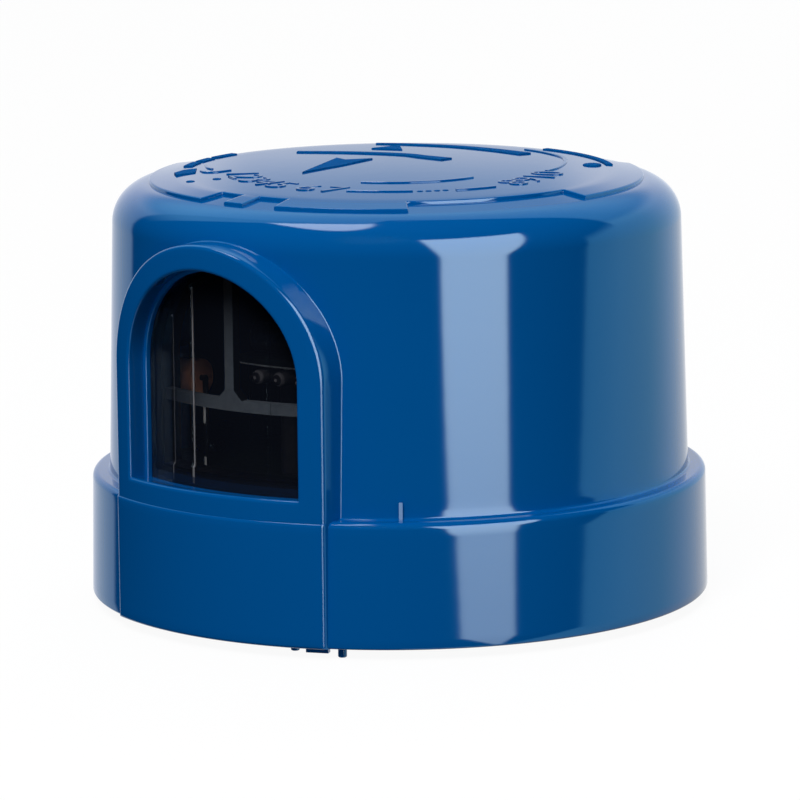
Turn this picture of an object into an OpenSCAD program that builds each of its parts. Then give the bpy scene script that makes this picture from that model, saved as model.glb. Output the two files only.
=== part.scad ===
// Twist-lock photocell switch: a drum-shaped moulded cover with an arched, smoked window,
// a base plate recessed in the cover's skirt, three hooked plug blades and the circuit inside.
// The window faces -Y. Heights in the modules are measured up from the skirt's rim, and
// seated() then puts the origin on the axis, in the plane where the gasket meets its socket.

/* [Cover] */
// Outer radius of the skirt at its lower rim
skirt_r = 43; // [41:0.5:48]
// Height of the skirt, from the rim to the shoulder
skirt_h = 17; // [15:0.5:21]
// How far the skirt's side leans in on its way up
skirt_draft = 0.3; // [0.1:0.1:0.6]
// Width of the shoulder between the skirt and the body
shoulder_w = 2.4; // [1.8:0.1:3]
// Rounding of the shoulder's outer edge
shoulder_round = 0.9; // [0.4:0.1:1.2]
// Height of the body above the shoulder
body_h = 40.1; // [38:0.1:48]
// How far the body's side leans in on its way up
body_draft = 0.95; // [0.4:0.05:1.4]
// Rounding between the body's side and its top
top_round = 5.5; // [4:0.5:7]
// Slope of the top inside that rounding, in degrees
top_slope = 8; // [4:0.5:12]
// Rise of the crowned top at its middle
crown_h = 0.3; // [0.1:0.1:1]
// Wall thickness of the moulding
wall = 2; // [1.6:0.1:2.4]

/* [Raised disc on the top] */
// Distance of the disc's edge inside the body's side
disc_margin = 5.15; // [4.5:0.05:7]
// Height of the disc above the top
disc_step = 0.45; // [0.3:0.05:0.9]
// Width of the disc's sloping outer ring, where the notches are
ring_w = 3.8; // [2:0.1:6]

/* [Window] */
// Width of the window opening
window_w = 28.7; // [24:0.1:31]
// Height of the sill above the shoulder
sill_h = 2.9; // [2.5:0.1:5]
// Height of the arch's centre above the shoulder
spring_h = 18.2; // [15:0.1:19]
// Width of the raised border around the opening
frame_w = 3.45; // [2.8:0.05:4]
// How far the border stands out from the body
boss_out = 3.2; // [2:0.1:3.4]
// Depth from the border's face to the lip in the opening
reveal_d = 3; // [2.5:0.1:4]
// Width of the lip that the lens rests against, at the sides and the arch
lip_w = 0.5; // [0.3:0.1:1]
// Thickness of the lip
lip_t = 1; // [0.8:0.1:1.6]
// How far the flat panel below the window stands out from the skirt
panel_out = 0.7; // [0.4:0.1:1.2]

/* [Lens and its retainer] */
// Thickness of the lens
lens_t = 1.8; // [1.2:0.1:2]
// How far the lens reaches past the opening, all round
lens_lap = 0.95; // [0.7:0.05:1.4]
// Diameter of the vertical beads on the lens's inner face
bead_d = 0.8; // [0.5:0.1:1]
// Angle between neighbouring beads, in degrees
bead_pitch = 6.8; // [6:0.1:8]
// Depth of the retainer behind the lens
retainer_d = 3.4; // [2.5:0.1:4]
// Width of the retainer's rim
retainer_w = 2.2; // [1.6:0.1:2.6]
// Width of the retainer's upright and cross bar
bar_w = 1.5; // [1:0.1:2]
// Height of the cross bar above the sill
transom_h = 10.8; // [8:0.1:13]

/* [Base] */
// Thickness of the base plate
plate_t = 3.2; // [2.8:0.1:4]
// Radius of the raised platform around the blades
platform_r = 22; // [20.5:0.5:24]
// Height of that platform
platform_h = 2; // [1:0.1:3]
// Inner radius of the sponge gasket
gasket_in_r = 27; // [25:0.5:29]
// Width of the gasket ring
gasket_w = 9; // [7:0.5:10]
// Thickness of the gasket
gasket_t = 4; // [3:0.5:5]
// Diameter of the posts that take the base screws
post_d = 7; // [6:0.2:7.6]
// Length of those posts
post_h = 18; // [16:0.5:20]
// Shank diameter of the base screws
screw_d = 2.8; // [2.2:0.1:3]
// Length of the base screws below the head
screw_len = 12; // [9:0.5:13]

/* [Blades] */
// Radius of the circle that the blades stand on
blade_r = 16; // [15:0.25:17]
// Thickness of the blades
blade_t = 1.6; // [1.2:0.1:1.8]
// Width of the line and load blades
narrow_w = 8.4; // [7:0.1:9]
// Width of the neutral blade
wide_w = 10.6; // [9:0.1:12]
// How far the blade tips reach below the rim
blade_drop = 1.5; // [1.5:0.1:5]
// Height of the hook at the foot of a blade
hook_h = 5; // [3.5:0.1:6]
// Height of the narrow neck above the hook
neck_h = 4.6; // [3:0.1:5]
// How far the hook reaches past the neck
hook_reach = 3; // [2:0.1:3.5]

/* [Boards] */
// Thickness of the circuit boards
board_t = 1.6; // [1.2:0.1:2]
// Height of the main board's stand-offs
standoff_h = 2; // [2:0.1:3]
// Height of the sensor board above the main board
sensor_h = 16.2; // [15:0.1:18]
// Diameter of the light sensors
sensor_d = 2; // [1.8:0.1:2.6]
// Distance between neighbouring light sensors
sensor_pitch = 3.6; // [3.4:0.1:4.2]

/* [Parts on the main board] */
// Relay length, width and height
relay_size = [19.2, 15.6, 15.2]; // [12:0.1:20]
// Film capacitor length, width and height
film_size = [18, 8, 14]; // [6:0.1:18]
// Diameter and height of the electrolytic capacitor
can_size = [8, 12.5]; // [5:0.1:14]
// Diameter and thickness of the surge varistor's disc
varistor_size = [14, 4.5]; // [3.5:0.1:14]
// Diameter and length of the dropping resistor
resistor_size = [5.2, 9]; // [4:0.1:9.5]
// Height of the resistor's axis above the main board
resistor_h = 12.4; // [9:0.1:13]

/* [Hidden] */
$fn = 72;

// Clearances: between seated pieces, round a screw or rivet, and round a circuit board
fit_gap = 0.05;
hole_gap = 0.1;
board_gap = 0.8;
plate_gap = 0.2;
// Overlap that makes two features of one moulding a single solid
fuse = 0.5;

// Radii of the cover
skirt_top_r = skirt_r - skirt_draft;
skirt_in_r = skirt_r - wall;
body_r = skirt_top_r - shoulder_w;
body_top_r = body_r - body_draft;
in_r = body_r - wall;
in_top_r = body_top_r - wall;
boss_r = body_r + boss_out;
panel_r = skirt_r + panel_out;
disc_r = body_top_r - disc_margin;
round_r = body_top_r - top_round;
slope_r = round_r + top_round * sin(top_slope);
plateau_r = disc_r - ring_w;
crown_r = (plateau_r ^ 2 + crown_h ^ 2) / (2 * crown_h);

// Heights above the rim
shoulder_z = skirt_h;
ledge_z = shoulder_z - wall;
top_z = shoulder_z + body_h;
round_z = top_z - top_round;
slope_z = round_z + top_round * cos(top_slope);
plateau_z = slope_z + (slope_r - plateau_r) * tan(top_slope);
plate_z = ledge_z - plate_t;
platform_z = plate_z - platform_h;
seat_h = plate_z - gasket_t;
sill_z = shoulder_z + sill_h;
spring_z = shoulder_z + spring_h;
board_z = ledge_z + standoff_h;
parts_z = board_z + board_t;

// Window, lens and retainer
lip_r = boss_r - reveal_d;
lens_seat_r = lip_r - lip_t;
lens_r = lens_seat_r - fit_gap;
lens_in_r = lens_r - lens_t;
lens_half = window_w / 2 + lens_lap;
lens_sill_z = sill_z - lens_lap;
retainer_r = lens_in_r - fit_gap;
retainer_in_r = retainer_r - retainer_d;
retainer_half = lens_half - retainer_w;
retainer_sill_z = lens_sill_z + retainer_w;
transom_z = sill_z + transom_h;
bar_r = lens_in_r - bead_d / 2 - hole_gap;
bar_t = 1.4;
tee_fillet = 1.3;
bead_turn = 9.9;
bead_margin = 0.4;
tunnel_wall = 1.6;
tunnel_past = 0.25;
tunnel_in_r = retainer_in_r - tunnel_past;

// Angles are turned from the window, positive towards +X
disc_gaps = [[-14, -5], [0.5, 7.5], [40, 85]];
tick_angle = 37.6;
tick_size = [0.5, 0.7, 2.5];
rim_tab = [20.2, 24.3];
rim_tab_drop = 0.65;
rim_tab_inset = 0.5;
peg_d = 1.2;
pegs = [[17.2, 0.9], [26.4, 1.5]];
peg_root = 3;

// Base screws, in posts inside the cover
post_angles = [65, 180, 295];
post_wall_gap = 1.3;
post_r = in_r - post_d / 2 - post_wall_gap;
post_web_t = 1.6;
bore_spare = 1;
bore_d = screw_d + 2 * fit_gap;
bore_depth = screw_len + bore_spare;
head_d = 2.1 * screw_d;
head_h = 1.7;
head_recess = 1.9;

// Blades and their rivets
blade_turns = [0, 120, 240];
blade_in_r = blade_r - blade_t / 2;
blade_out_r = blade_r + blade_t / 2;
foot_in_r = 8.6;
foot_t = 1;
foot_w = 5.4;
tang_w = 3.4;
tang_h = 1.4;
tip_cut = 0.8;
rivet_r = 11.6;
rivet_d = 2.9;
rivet_head_d = 4.8;
rivet_head_h = 0.8;

// Main board and what stands on it
board_wall_gap = 1.9;
board_r = in_r - board_wall_gap;
standoff_angles = [60, 180, 300];
standoff_inset = 9.4;
standoff_r = board_r - standoff_inset;
standoff_d = 6;
board_screw_d = 2.3;
board_screw_len = 5.4;
board_head_d = 4.6;
board_head_h = 1.5;
screw_end_gap = 0.4;
tang_slack = [0.4, 0.6];
// The relay and the film capacitor stand beside the back screw, behind the tangs
tang_back_y = blade_r / 2 + tang_w / 2 * cos(30) + blade_t / 2 * sin(30);
relay_gap = [0.35, 0.35];
film_gap = [1.7, 6.1];
relay_at = [board_head_d, 2 * tang_back_y] / 2 + relay_gap + [relay_size.x, relay_size.y] / 2;
film_at = [-board_head_d / 2 - film_gap.x - film_size.x / 2, tang_back_y + film_gap.y + film_size.y / 2];
// The can and the varistor stand at the board's edge
can_inset = [12.4, 3];
varistor_inset = [9.4, 2];
can_at = [can_inset.x - board_r, can_inset.y];
varistor_at = [board_r - varistor_inset.x, varistor_inset.y];
// The resistor's right-hand lead shows just inside the window
lead_inset = [0.3, 10];
resistor_right = [lead_inset.x - lens_half, lead_inset.y - tunnel_in_r];
lead_d = 0.8;
lead_out = 0.75;
diode_size = [2.7, 5.2];
diode_ys = [-7, -3, 1, 5];
diode_h = 1.5;
diode_lead_out = 2;

// Sensor board
sensor_z = parts_z + sensor_h;
sensor_board_t = 1.2;
sensor_board_x = [-5, 16];
sensor_board_gap = 4.4;
sensor_board_len = 12.1;
sensor_board_r = tunnel_in_r - sensor_board_gap;
sensor_board_back = sensor_board_len - sensor_board_r;
sensor_post_d = 4;
sensor_post_inset = 2.5;
sensor_post_y = sensor_board_back - sensor_post_inset;
sensor_mid_x = 2.6;
sensor_len = 5.4;
flange_d = sensor_d + 0.7;
flange_t = 0.9;
sensor_axis_z = sensor_z - flange_d / 2 - hole_gap;
sensor_set_back = 4.4;
sensor_back_y = sensor_set_back - sensor_board_r;
sensor_lead_d = 0.5;
sensor_lead_pitch = 1.27;
sensor_lead_back = 1.6;
small_can = [4, 8];
small_can_inset = [-0.4, 4.2];
small_can_at = [small_can_inset.x, small_can_inset.y - sensor_board_r];

// Moves the rim-based heights so that the gasket's seat is at zero
module seated() {
    translate([0, 0, -seat_h]) children();
}

// Places a child at a turn from the window and a radius
module at_turn(turn, r) {
    rotate(turn) translate([0, -r]) children();
}

// Part of a ring, between two turns from the window
module sector(r1, r2, turn1, turn2, z1, z2) {
    translate([0, 0, z1]) rotate(turn1 - 90) rotate_extrude(angle = turn2 - turn1)
        translate([r1, 0]) square([r2 - r1, z2 - z1]);
}

// Ring around the axis
module ring(r1, r2, z1, z2) {
    translate([0, 0, z1]) difference() {
        cylinder(r = r2, h = z2 - z1);
        translate([0, 0, -1]) cylinder(r = r1, h = z2 - z1 + 2);
    }
}

// Rectangle with round corners, centred
module round_rect(size, r) {
    square([size.x - 2 * r, size.y], center = true);
    square([size.x, size.y - 2 * r], center = true);
    for (sx = [-1, 1], sy = [-1, 1])
        translate([sx * (size.x / 2 - r), sy * (size.y / 2 - r)]) circle(r);
}

// Window outline: upright sides under a half circle
module arch(half_w, foot_z) {
    translate([-half_w, foot_z]) square([2 * half_w, spring_z - foot_z]);
    translate([0, spring_z]) circle(half_w);
}

// The outline pushed out from the axis towards the window's side
module window_prism(half_w, foot_z) {
    rotate([90, 0, 0]) linear_extrude(height = panel_r + 5) arch(half_w, foot_z);
}

// Outline of the raised disc on the top, with its notches
module disc_outline() {
    circle(plateau_r);
    difference() {
        circle(disc_r);
        for (gap = disc_gaps)
            rotate(gap[0] - 90) polygon([[0, 0], [2 * disc_r, 0],
                [2 * disc_r, 2 * disc_r * tan((gap[1] - gap[0]) / 2)],
                2 * disc_r * [cos(gap[1] - gap[0]), sin(gap[1] - gap[0])]]);
    }
}

// Half section of the cover's outside
module cover_section() {
    polygon([[0, 0], [skirt_r, 0], [skirt_top_r, shoulder_z - shoulder_round],
        [skirt_top_r - shoulder_round, shoulder_z], [0, shoulder_z]]);
    translate([skirt_top_r - shoulder_round, shoulder_z - shoulder_round]) circle(shoulder_round);
    polygon([[0, ledge_z], [body_r, ledge_z], [body_r, shoulder_z], [body_top_r, round_z],
        [slope_r, slope_z], [plateau_r, plateau_z], [0, plateau_z]]);
    translate([round_r, round_z]) circle(top_round);
}

// Half section of the raised disc: the top's own slope and plateau, a step higher
module disc_section() {
    edge_r = disc_r + fuse;
    edge_z = slope_z + (slope_r - edge_r) * tan(top_slope);
    polygon([[0, slope_z - fuse], [edge_r, slope_z - fuse], [edge_r, edge_z + disc_step],
        [plateau_r, plateau_z + disc_step], [0, plateau_z + disc_step]]);
}

// Half section of the space inside the body
module hollow_section() {
    inner_round = top_round - wall;
    polygon([[0, ledge_z], [in_r, ledge_z], [in_r, shoulder_z], [in_top_r, round_z],
        [round_r, top_z - wall], [0, top_z - wall]]);
    translate([round_r, round_z]) circle(inner_round);
}

// Disc with its notches, and the shallow crown on its plateau
module raised_disc() {
    crown_z = plateau_z + disc_step;
    intersection() {
        rotate_extrude($fn = 160) disc_section();
        linear_extrude(height = 2 * top_z) disc_outline();
    }
    intersection() {
        translate([0, 0, crown_z + crown_h - crown_r]) sphere(crown_r, $fn = 200);
        translate([0, 0, crown_z - fuse]) cylinder(r = plateau_r, h = crown_h + 2 * fuse);
    }
}

module cover_outside() {
    rotate_extrude($fn = 160) cover_section();
    raised_disc();
    intersection() {
        window_prism(window_w / 2 + frame_w, shoulder_z - fuse);
        cylinder(r = boss_r, h = top_z, $fn = 160);
    }
    intersection() {
        cylinder(r = panel_r, h = shoulder_z, $fn = 160);
        translate([-window_w / 2 - frame_w, -panel_r - 1, 0])
            cube([window_w + 2 * frame_w, panel_r + 1, shoulder_z]);
    }
    at_turn(tick_angle, body_r + tick_size.y - fuse - tick_size.y / 2)
        translate([-tick_size.x / 2, -fuse - tick_size.y / 2, shoulder_z - fuse])
            cube([tick_size.x, 2 * fuse + tick_size.y, tick_size.z + fuse]);
}

// Walls inside the cover that hold the lens and its retainer
module window_tunnel() {
    intersection() {
        window_prism(lens_half + fit_gap + tunnel_wall, lens_sill_z - fit_gap - tunnel_wall);
        ring(tunnel_in_r, in_top_r + fuse, ledge_z, top_z - wall / 2);
    }
}

module screw_posts() {
    for (turn = post_angles) {
        at_turn(turn, post_r) translate([0, 0, ledge_z]) cylinder(d = post_d, h = post_h);
        at_turn(turn, in_r + fuse) translate([-post_web_t / 2, 0, ledge_z])
            cube([post_web_t, in_r + fuse - post_r, post_h]);
    }
}

module rim_marks() {
    sector(skirt_in_r + rim_tab_inset, skirt_r - rim_tab_inset, rim_tab[0], rim_tab[1], -rim_tab_drop, fuse);
    for (peg = pegs)
        at_turn(peg[0], skirt_in_r - peg_d / 2 + fuse / 2) translate([0, 0, -peg[1]])
            cylinder(d = peg_d, h = peg[1] + peg_root);
}

module cover() {
    color("#00508f") seated() difference() {
        union() {
            difference() {
                cover_outside();
                rotate_extrude($fn = 160) hollow_section();
                translate([0, 0, -1]) cylinder(r = skirt_in_r, h = ledge_z + 1, $fn = 160);
            }
            window_tunnel();
            screw_posts();
            rim_marks();
        }
        difference() {
            window_prism(window_w / 2, sill_z);
            cylinder(r = lip_r, h = top_z, $fn = 160);
        }
        window_prism(window_w / 2 - lip_w, sill_z);
        intersection() {
            window_prism(lens_half + fit_gap, lens_sill_z - fit_gap);
            cylinder(r = lens_seat_r, h = top_z, $fn = 160);
        }
        for (turn = post_angles)
            at_turn(turn, post_r) translate([0, 0, ledge_z - 1]) cylinder(d = bore_d, h = bore_depth + 1);
    }
}

module window_lens() {
    color("#1c1c20", 0.6) seated() {
        intersection() {
            window_prism(lens_half, lens_sill_z);
            ring(lens_in_r, lens_r, 0, top_z);
        }
        intersection() {
            window_prism(retainer_half - bead_margin, retainer_sill_z + bead_margin);
            for (side = [-1, 1], n = [0, 1])
                at_turn(side * (bead_turn + n * bead_pitch), lens_in_r)
                    cylinder(d = bead_d, h = top_z, $fn = 24);
        }
    }
}

// Upright and cross bar of the retainer, with filleted corners
module tee() {
    translate([-bar_w / 2, transom_z]) square([bar_w, spring_z + lens_half - transom_z]);
    translate([-lens_half, transom_z - bar_w / 2]) square([2 * lens_half, bar_w]);
    for (side = [-1, 1])
        translate([side * bar_w / 2, transom_z + bar_w / 2])
            polygon([[0, 0], [side * tee_fillet, 0], [0, tee_fillet]]);
}

module lens_retainer() {
    color("#3c434b") seated() intersection() {
        window_prism(lens_half, lens_sill_z);
        union() {
            difference() {
                ring(retainer_in_r, retainer_r, 0, top_z);
                window_prism(retainer_half, retainer_sill_z);
            }
            intersection() {
                rotate([90, 0, 0]) linear_extrude(height = panel_r) tee();
                ring(bar_r - bar_t, bar_r, 0, top_z);
            }
        }
    }
}

module base_plate() {
    color("#26282b") seated() difference() {
        union() {
            translate([0, 0, plate_z]) cylinder(r = skirt_in_r - plate_gap, h = plate_t, $fn = 160);
            translate([0, 0, platform_z]) cylinder(r = platform_r, h = platform_h + fuse);
            for (turn = standoff_angles)
                at_turn(turn, standoff_r) translate([0, 0, ledge_z - fuse])
                    cylinder(d = standoff_d, h = standoff_h + fuse);
        }
        for (n = [0:2]) {
            slot_w = (n == 0 ? wide_w : narrow_w) + 2 * hole_gap;
            rotate(blade_turns[n]) blade_band(hole_gap)
                translate([-slot_w / 2, platform_z - 1]) square([slot_w, plate_t + platform_h + 2]);
            at_turn(blade_turns[n], rivet_r) translate([0, 0, platform_z - 1])
                cylinder(d = rivet_d + 2 * fit_gap, h = plate_t + platform_h + 2);
        }
        for (turn = post_angles) at_turn(turn, post_r) translate([0, 0, plate_z - 1]) {
            cylinder(d = screw_d + 2 * hole_gap, h = plate_t + 2);
            cylinder(d = head_d + 2 * hole_gap, h = head_recess + 1);
        }
        for (turn = standoff_angles)
            at_turn(turn, standoff_r) translate([0, 0, parts_z - board_screw_len - screw_end_gap])
                cylinder(d = board_screw_d + 2 * fit_gap, h = board_screw_len);
    }
}

module gasket() {
    color("#3a3a3c") seated() ring(gasket_in_r, gasket_in_r + gasket_w, seat_h, plate_z);
}

// The blades' curved strip, as wide and tall as a flat outline
module blade_band(gap) {
    intersection() {
        ring(blade_in_r - gap, blade_out_r + gap, -blade_drop - 1, parts_z + tang_h + 1);
        rotate([90, 0, 0]) linear_extrude(height = blade_out_r + 1) children();
    }
}

// Outline of a blade: hook and neck below, tang above
module blade_outline(w) {
    half = w / 2;
    neck_x = half - hook_reach;
    hook_z = hook_h - blade_drop;
    foot_z = ledge_z + foot_t;
    polygon([[tip_cut - half, -blade_drop], [half - tip_cut, -blade_drop], [half, tip_cut - blade_drop],
        [half, hook_z], [neck_x, hook_z], [neck_x, hook_z + neck_h], [half, hook_z + neck_h],
        [half, foot_z], [tang_w / 2, foot_z], [tang_w / 2, parts_z + tang_h],
        [-tang_w / 2, parts_z + tang_h], [-tang_w / 2, foot_z], [-half, foot_z],
        [-half, tip_cut - blade_drop]]);
}

// Hooked blade with a riveted foot and a tang that reaches the main board
module blade(turn, w) {
    color("#c9a653") seated() rotate(turn) {
        blade_band(0) blade_outline(w);
        difference() {
            translate([-foot_w / 2, -blade_r, ledge_z]) cube([foot_w, blade_r - foot_in_r, foot_t]);
            translate([0, -rivet_r, ledge_z - 1]) cylinder(d = rivet_d + 2 * fit_gap, h = foot_t + 2);
        }
    }
}

module line_blade() {
    blade(blade_turns[1], narrow_w);
}

module load_blade() {
    blade(blade_turns[2], narrow_w);
}

module neutral_blade() {
    blade(blade_turns[0], wide_w);
}

module blade_rivets() {
    color("#b9bcc0") seated() for (turn = blade_turns) at_turn(turn, rivet_r) {
        translate([0, 0, platform_z]) cylinder(d = rivet_d, h = ledge_z + foot_t - platform_z);
        translate([0, 0, platform_z - rivet_head_h]) cylinder(d = rivet_head_d, h = rivet_head_h);
        translate([0, 0, ledge_z + foot_t]) cylinder(d = rivet_head_d, h = rivet_head_h);
    }
}

// Pan-head screw that points up, its head's underside at zero
module screw(d, len, head, h) {
    translate([0, 0, -h]) cylinder(d = head, h = h);
    translate([0, 0, -h / 2]) cylinder(d = d, h = len + h / 2);
}

module base_screws() {
    color("#aeb2b6") seated() for (turn = post_angles)
        at_turn(turn, post_r) translate([0, 0, plate_z + head_recess])
            screw(screw_d, screw_len, head_d, head_h);
}

module main_board() {
    color("#15201a") seated() translate([0, 0, board_z]) linear_extrude(height = board_t) difference() {
        circle(board_r);
        difference() {
            tunnel_half = lens_half + tunnel_wall + board_gap;
            translate([-tunnel_half, -board_r - 1]) square([2 * tunnel_half, board_r]);
            circle(tunnel_in_r - board_gap);
        }
        for (turn = post_angles) at_turn(turn, post_r) {
            circle(d = post_d + 2 * board_gap);
            translate([-post_d / 2, -post_d]) square([post_d, post_d]);
        }
        for (turn = blade_turns) at_turn(turn, blade_r)
            square([tang_w, blade_t] + tang_slack, center = true);
        for (turn = standoff_angles) at_turn(turn, standoff_r) circle(d = board_screw_d + 2 * hole_gap);
    }
}

module board_screws() {
    color("#aeb2b6") seated() for (turn = standoff_angles)
        at_turn(turn, standoff_r) translate([0, 0, parts_z]) mirror([0, 0, 1])
            screw(board_screw_d, board_screw_len, board_head_d, board_head_h);
}

// Box-shaped component with rounded upright edges, standing on the main board
module board_box(size, at, r) {
    translate([at.x, at.y, parts_z]) linear_extrude(height = size.z) round_rect([size.x, size.y], r);
}

module relay() {
    color("#1d1f22") seated() board_box(relay_size, relay_at, 0.8);
}

module film_capacitor() {
    color("#7a2c22") seated() board_box(film_size, film_at, 1);
}

// Can with a crimped groove near its foot and a slightly rounded shoulder
module electrolytic_capacitor() {
    r = can_size[0] / 2;
    groove = 0.4;
    groove_z = 2;
    color("#20262e") seated() translate([can_at.x, can_at.y, parts_z]) rotate_extrude() difference() {
        square([r, can_size[1]]);
        translate([r + groove / 2, groove_z]) circle(groove * 1.5);
    }
}

module surge_varistor() {
    r = varistor_size[0] / 2;
    t = varistor_size[1];
    axis_z = parts_z + r + 1;
    color("#2b4f86") seated() translate([varistor_at.x, varistor_at.y, axis_z]) {
        rotate([0, 90, 0]) translate([0, 0, -t / 2]) rotate_extrude() {
            square([r - t / 2, t]);
            translate([r - t / 2, t / 2]) intersection() {
                circle(t / 2);
                translate([0, -t / 2]) square([t / 2, t]);
            }
        }
        for (side = [-1, 1])
            translate([0, side * r / 2, parts_z - axis_z]) cylinder(d = lead_d, h = axis_z - parts_z);
    }
}

// Places a child on the resistor's axis, at a distance in from its right-hand lead
module on_resistor(inset) {
    translate([resistor_right.x - inset, resistor_right.y, parts_z + resistor_h]) children();
}

// Wound body with slightly larger end caps, lying along X
module dropping_resistor() {
    r = resistor_size[0] / 2;
    len = resistor_size[1];
    cap = 1.6;
    waist = 0.25;
    color("#9a5b33") seated() on_resistor(lead_out + len) rotate([0, 90, 0]) rotate_extrude() {
        square([r - waist, len]);
        for (z = [0, len - cap]) translate([0, z]) square([r, cap]);
    }
}

module resistor_leads() {
    len = resistor_size[1];
    color("#c8ccd0") seated() for (end = [0, 1])
        on_resistor(end * (len + 2 * lead_out)) {
            rotate([0, end ? 90 : -90, 0]) cylinder(d = lead_d, h = lead_out);
            sphere(d = lead_d);
            translate([0, 0, -resistor_h]) cylinder(d = lead_d, h = resistor_h);
        }
}

module rectifier_diodes() {
    color("#18191b") seated() for (y = diode_ys)
        translate([-diode_size[1] / 2, y, parts_z + diode_h]) rotate([0, 90, 0])
            cylinder(d = diode_size[0], h = diode_size[1]);
}

module diode_leads() {
    half = diode_size[1] / 2;
    color("#c8ccd0") seated() for (y = diode_ys, side = [-1, 1])
        translate([side * half, y, parts_z + diode_h]) {
            rotate([0, side * 90, 0]) cylinder(d = lead_d, h = diode_lead_out);
            translate([side * diode_lead_out, 0, 0]) sphere(d = lead_d);
            translate([side * diode_lead_out, 0, -diode_h]) cylinder(d = lead_d, h = diode_h);
        }
}

module sensor_board() {
    w = sensor_board_x[1] - sensor_board_x[0];
    color("#15201a") seated() translate([0, 0, sensor_z]) linear_extrude(height = sensor_board_t)
        intersection() {
            circle(sensor_board_r);
            translate([sensor_board_x[0], -sensor_board_r]) square([w, sensor_board_r + sensor_board_back]);
        }
}

module sensor_posts() {
    color("#e4e2da") seated()
        for (x = [sensor_board_x[0] + sensor_post_inset, sensor_board_x[1] - sensor_post_inset])
            translate([x, sensor_post_y, parts_z]) cylinder(d = sensor_post_d, h = sensor_h);
}

// Places a child on each sensor's axis, at its back, with its nose along +Z
module at_sensors() {
    for (n = [-1:1])
        translate([sensor_mid_x + n * sensor_pitch, sensor_back_y, sensor_axis_z])
            rotate([90, 0, 0]) children();
}

module light_sensors() {
    color("#dfe3e6", 0.7) seated() at_sensors() {
        cylinder(d = flange_d, h = flange_t);
        cylinder(d = sensor_d, h = sensor_len - sensor_d / 2);
        translate([0, 0, sensor_len - sensor_d / 2]) sphere(d = sensor_d);
    }
}

module sensor_leads() {
    rise = sensor_z - sensor_axis_z;
    color("#c8ccd0") seated() at_sensors() for (side = [-1, 1])
        translate([side * sensor_lead_pitch / 2, 0, 0]) {
            translate([0, 0, -sensor_lead_back]) cylinder(d = sensor_lead_d, h = sensor_lead_back);
            translate([0, 0, -sensor_lead_back]) sphere(d = sensor_lead_d);
            translate([0, 0, -sensor_lead_back]) rotate([-90, 0, 0]) cylinder(d = sensor_lead_d, h = rise);
        }
}

// Small can lying on the sensor board, along X
module sensor_capacitor() {
    r = small_can[0] / 2;
    color("#8d9196") seated()
        translate([small_can_at.x - small_can[1] / 2, small_can_at.y, sensor_z + sensor_board_t + r])
            rotate([0, 90, 0]) cylinder(r = r, h = small_can[1]);
}

cover();
window_lens();
lens_retainer();
base_plate();
gasket();
line_blade();
load_blade();
neutral_blade();
blade_rivets();
base_screws();
main_board();
board_screws();
relay();
film_capacitor();
electrolytic_capacitor();
surge_varistor();
dropping_resistor();
resistor_leads();
rectifier_diodes();
diode_leads();
sensor_board();
sensor_posts();
light_sensors();
sensor_leads();
sensor_capacitor();
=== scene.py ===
# Looks of the photocell switch: moulded cover, smoked window, what shows behind it, and the plug below
import math
import bmesh
import bpy
import numpy as np
from mathutils import Matrix, Vector


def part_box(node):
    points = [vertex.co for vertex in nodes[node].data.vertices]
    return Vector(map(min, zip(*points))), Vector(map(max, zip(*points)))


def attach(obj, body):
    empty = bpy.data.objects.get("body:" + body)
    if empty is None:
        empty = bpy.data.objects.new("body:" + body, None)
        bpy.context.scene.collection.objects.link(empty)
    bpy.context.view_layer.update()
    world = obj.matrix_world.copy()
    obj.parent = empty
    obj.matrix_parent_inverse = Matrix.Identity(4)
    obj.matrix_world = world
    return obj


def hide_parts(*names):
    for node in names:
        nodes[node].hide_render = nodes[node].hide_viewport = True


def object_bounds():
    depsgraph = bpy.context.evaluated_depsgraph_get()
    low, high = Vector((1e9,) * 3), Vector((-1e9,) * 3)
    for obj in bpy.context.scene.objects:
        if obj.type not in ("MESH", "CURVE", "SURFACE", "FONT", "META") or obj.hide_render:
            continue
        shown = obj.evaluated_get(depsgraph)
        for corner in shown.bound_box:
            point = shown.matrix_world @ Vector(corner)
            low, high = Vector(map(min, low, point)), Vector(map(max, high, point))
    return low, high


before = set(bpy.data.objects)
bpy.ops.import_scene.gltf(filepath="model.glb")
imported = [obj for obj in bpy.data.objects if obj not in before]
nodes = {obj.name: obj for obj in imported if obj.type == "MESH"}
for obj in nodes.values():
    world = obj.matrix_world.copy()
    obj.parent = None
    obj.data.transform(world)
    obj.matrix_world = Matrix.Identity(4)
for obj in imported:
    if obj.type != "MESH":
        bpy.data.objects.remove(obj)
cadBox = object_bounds()
mm = 0.001
rimDrop = 7.8  # the skirt's rim is this far below the gasket's seat, which is the frame's zero
print("frame loaded:", len(nodes), "nodes")


# small helpers

def linear(hexColour):
    channels = [int(hexColour[i:i + 2], 16) / 255 for i in (1, 3, 5)]
    return [c / 12.92 if c <= 0.04045 else ((c + 0.055) / 1.055) ** 2.4 for c in channels] + [1.0]


mathNode, rangeNode, rampNode = "ShaderNodeMath", "ShaderNodeMapRange", "ShaderNodeValToRGB"
vectorNode, partsNode, mixNode = "ShaderNodeVectorMath", "ShaderNodeSeparateXYZ", "ShaderNodeMixRGB"
placeNode = "ShaderNodeTexCoord"
smoothly = {"interpolation_type": "SMOOTHSTEP"}


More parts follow.
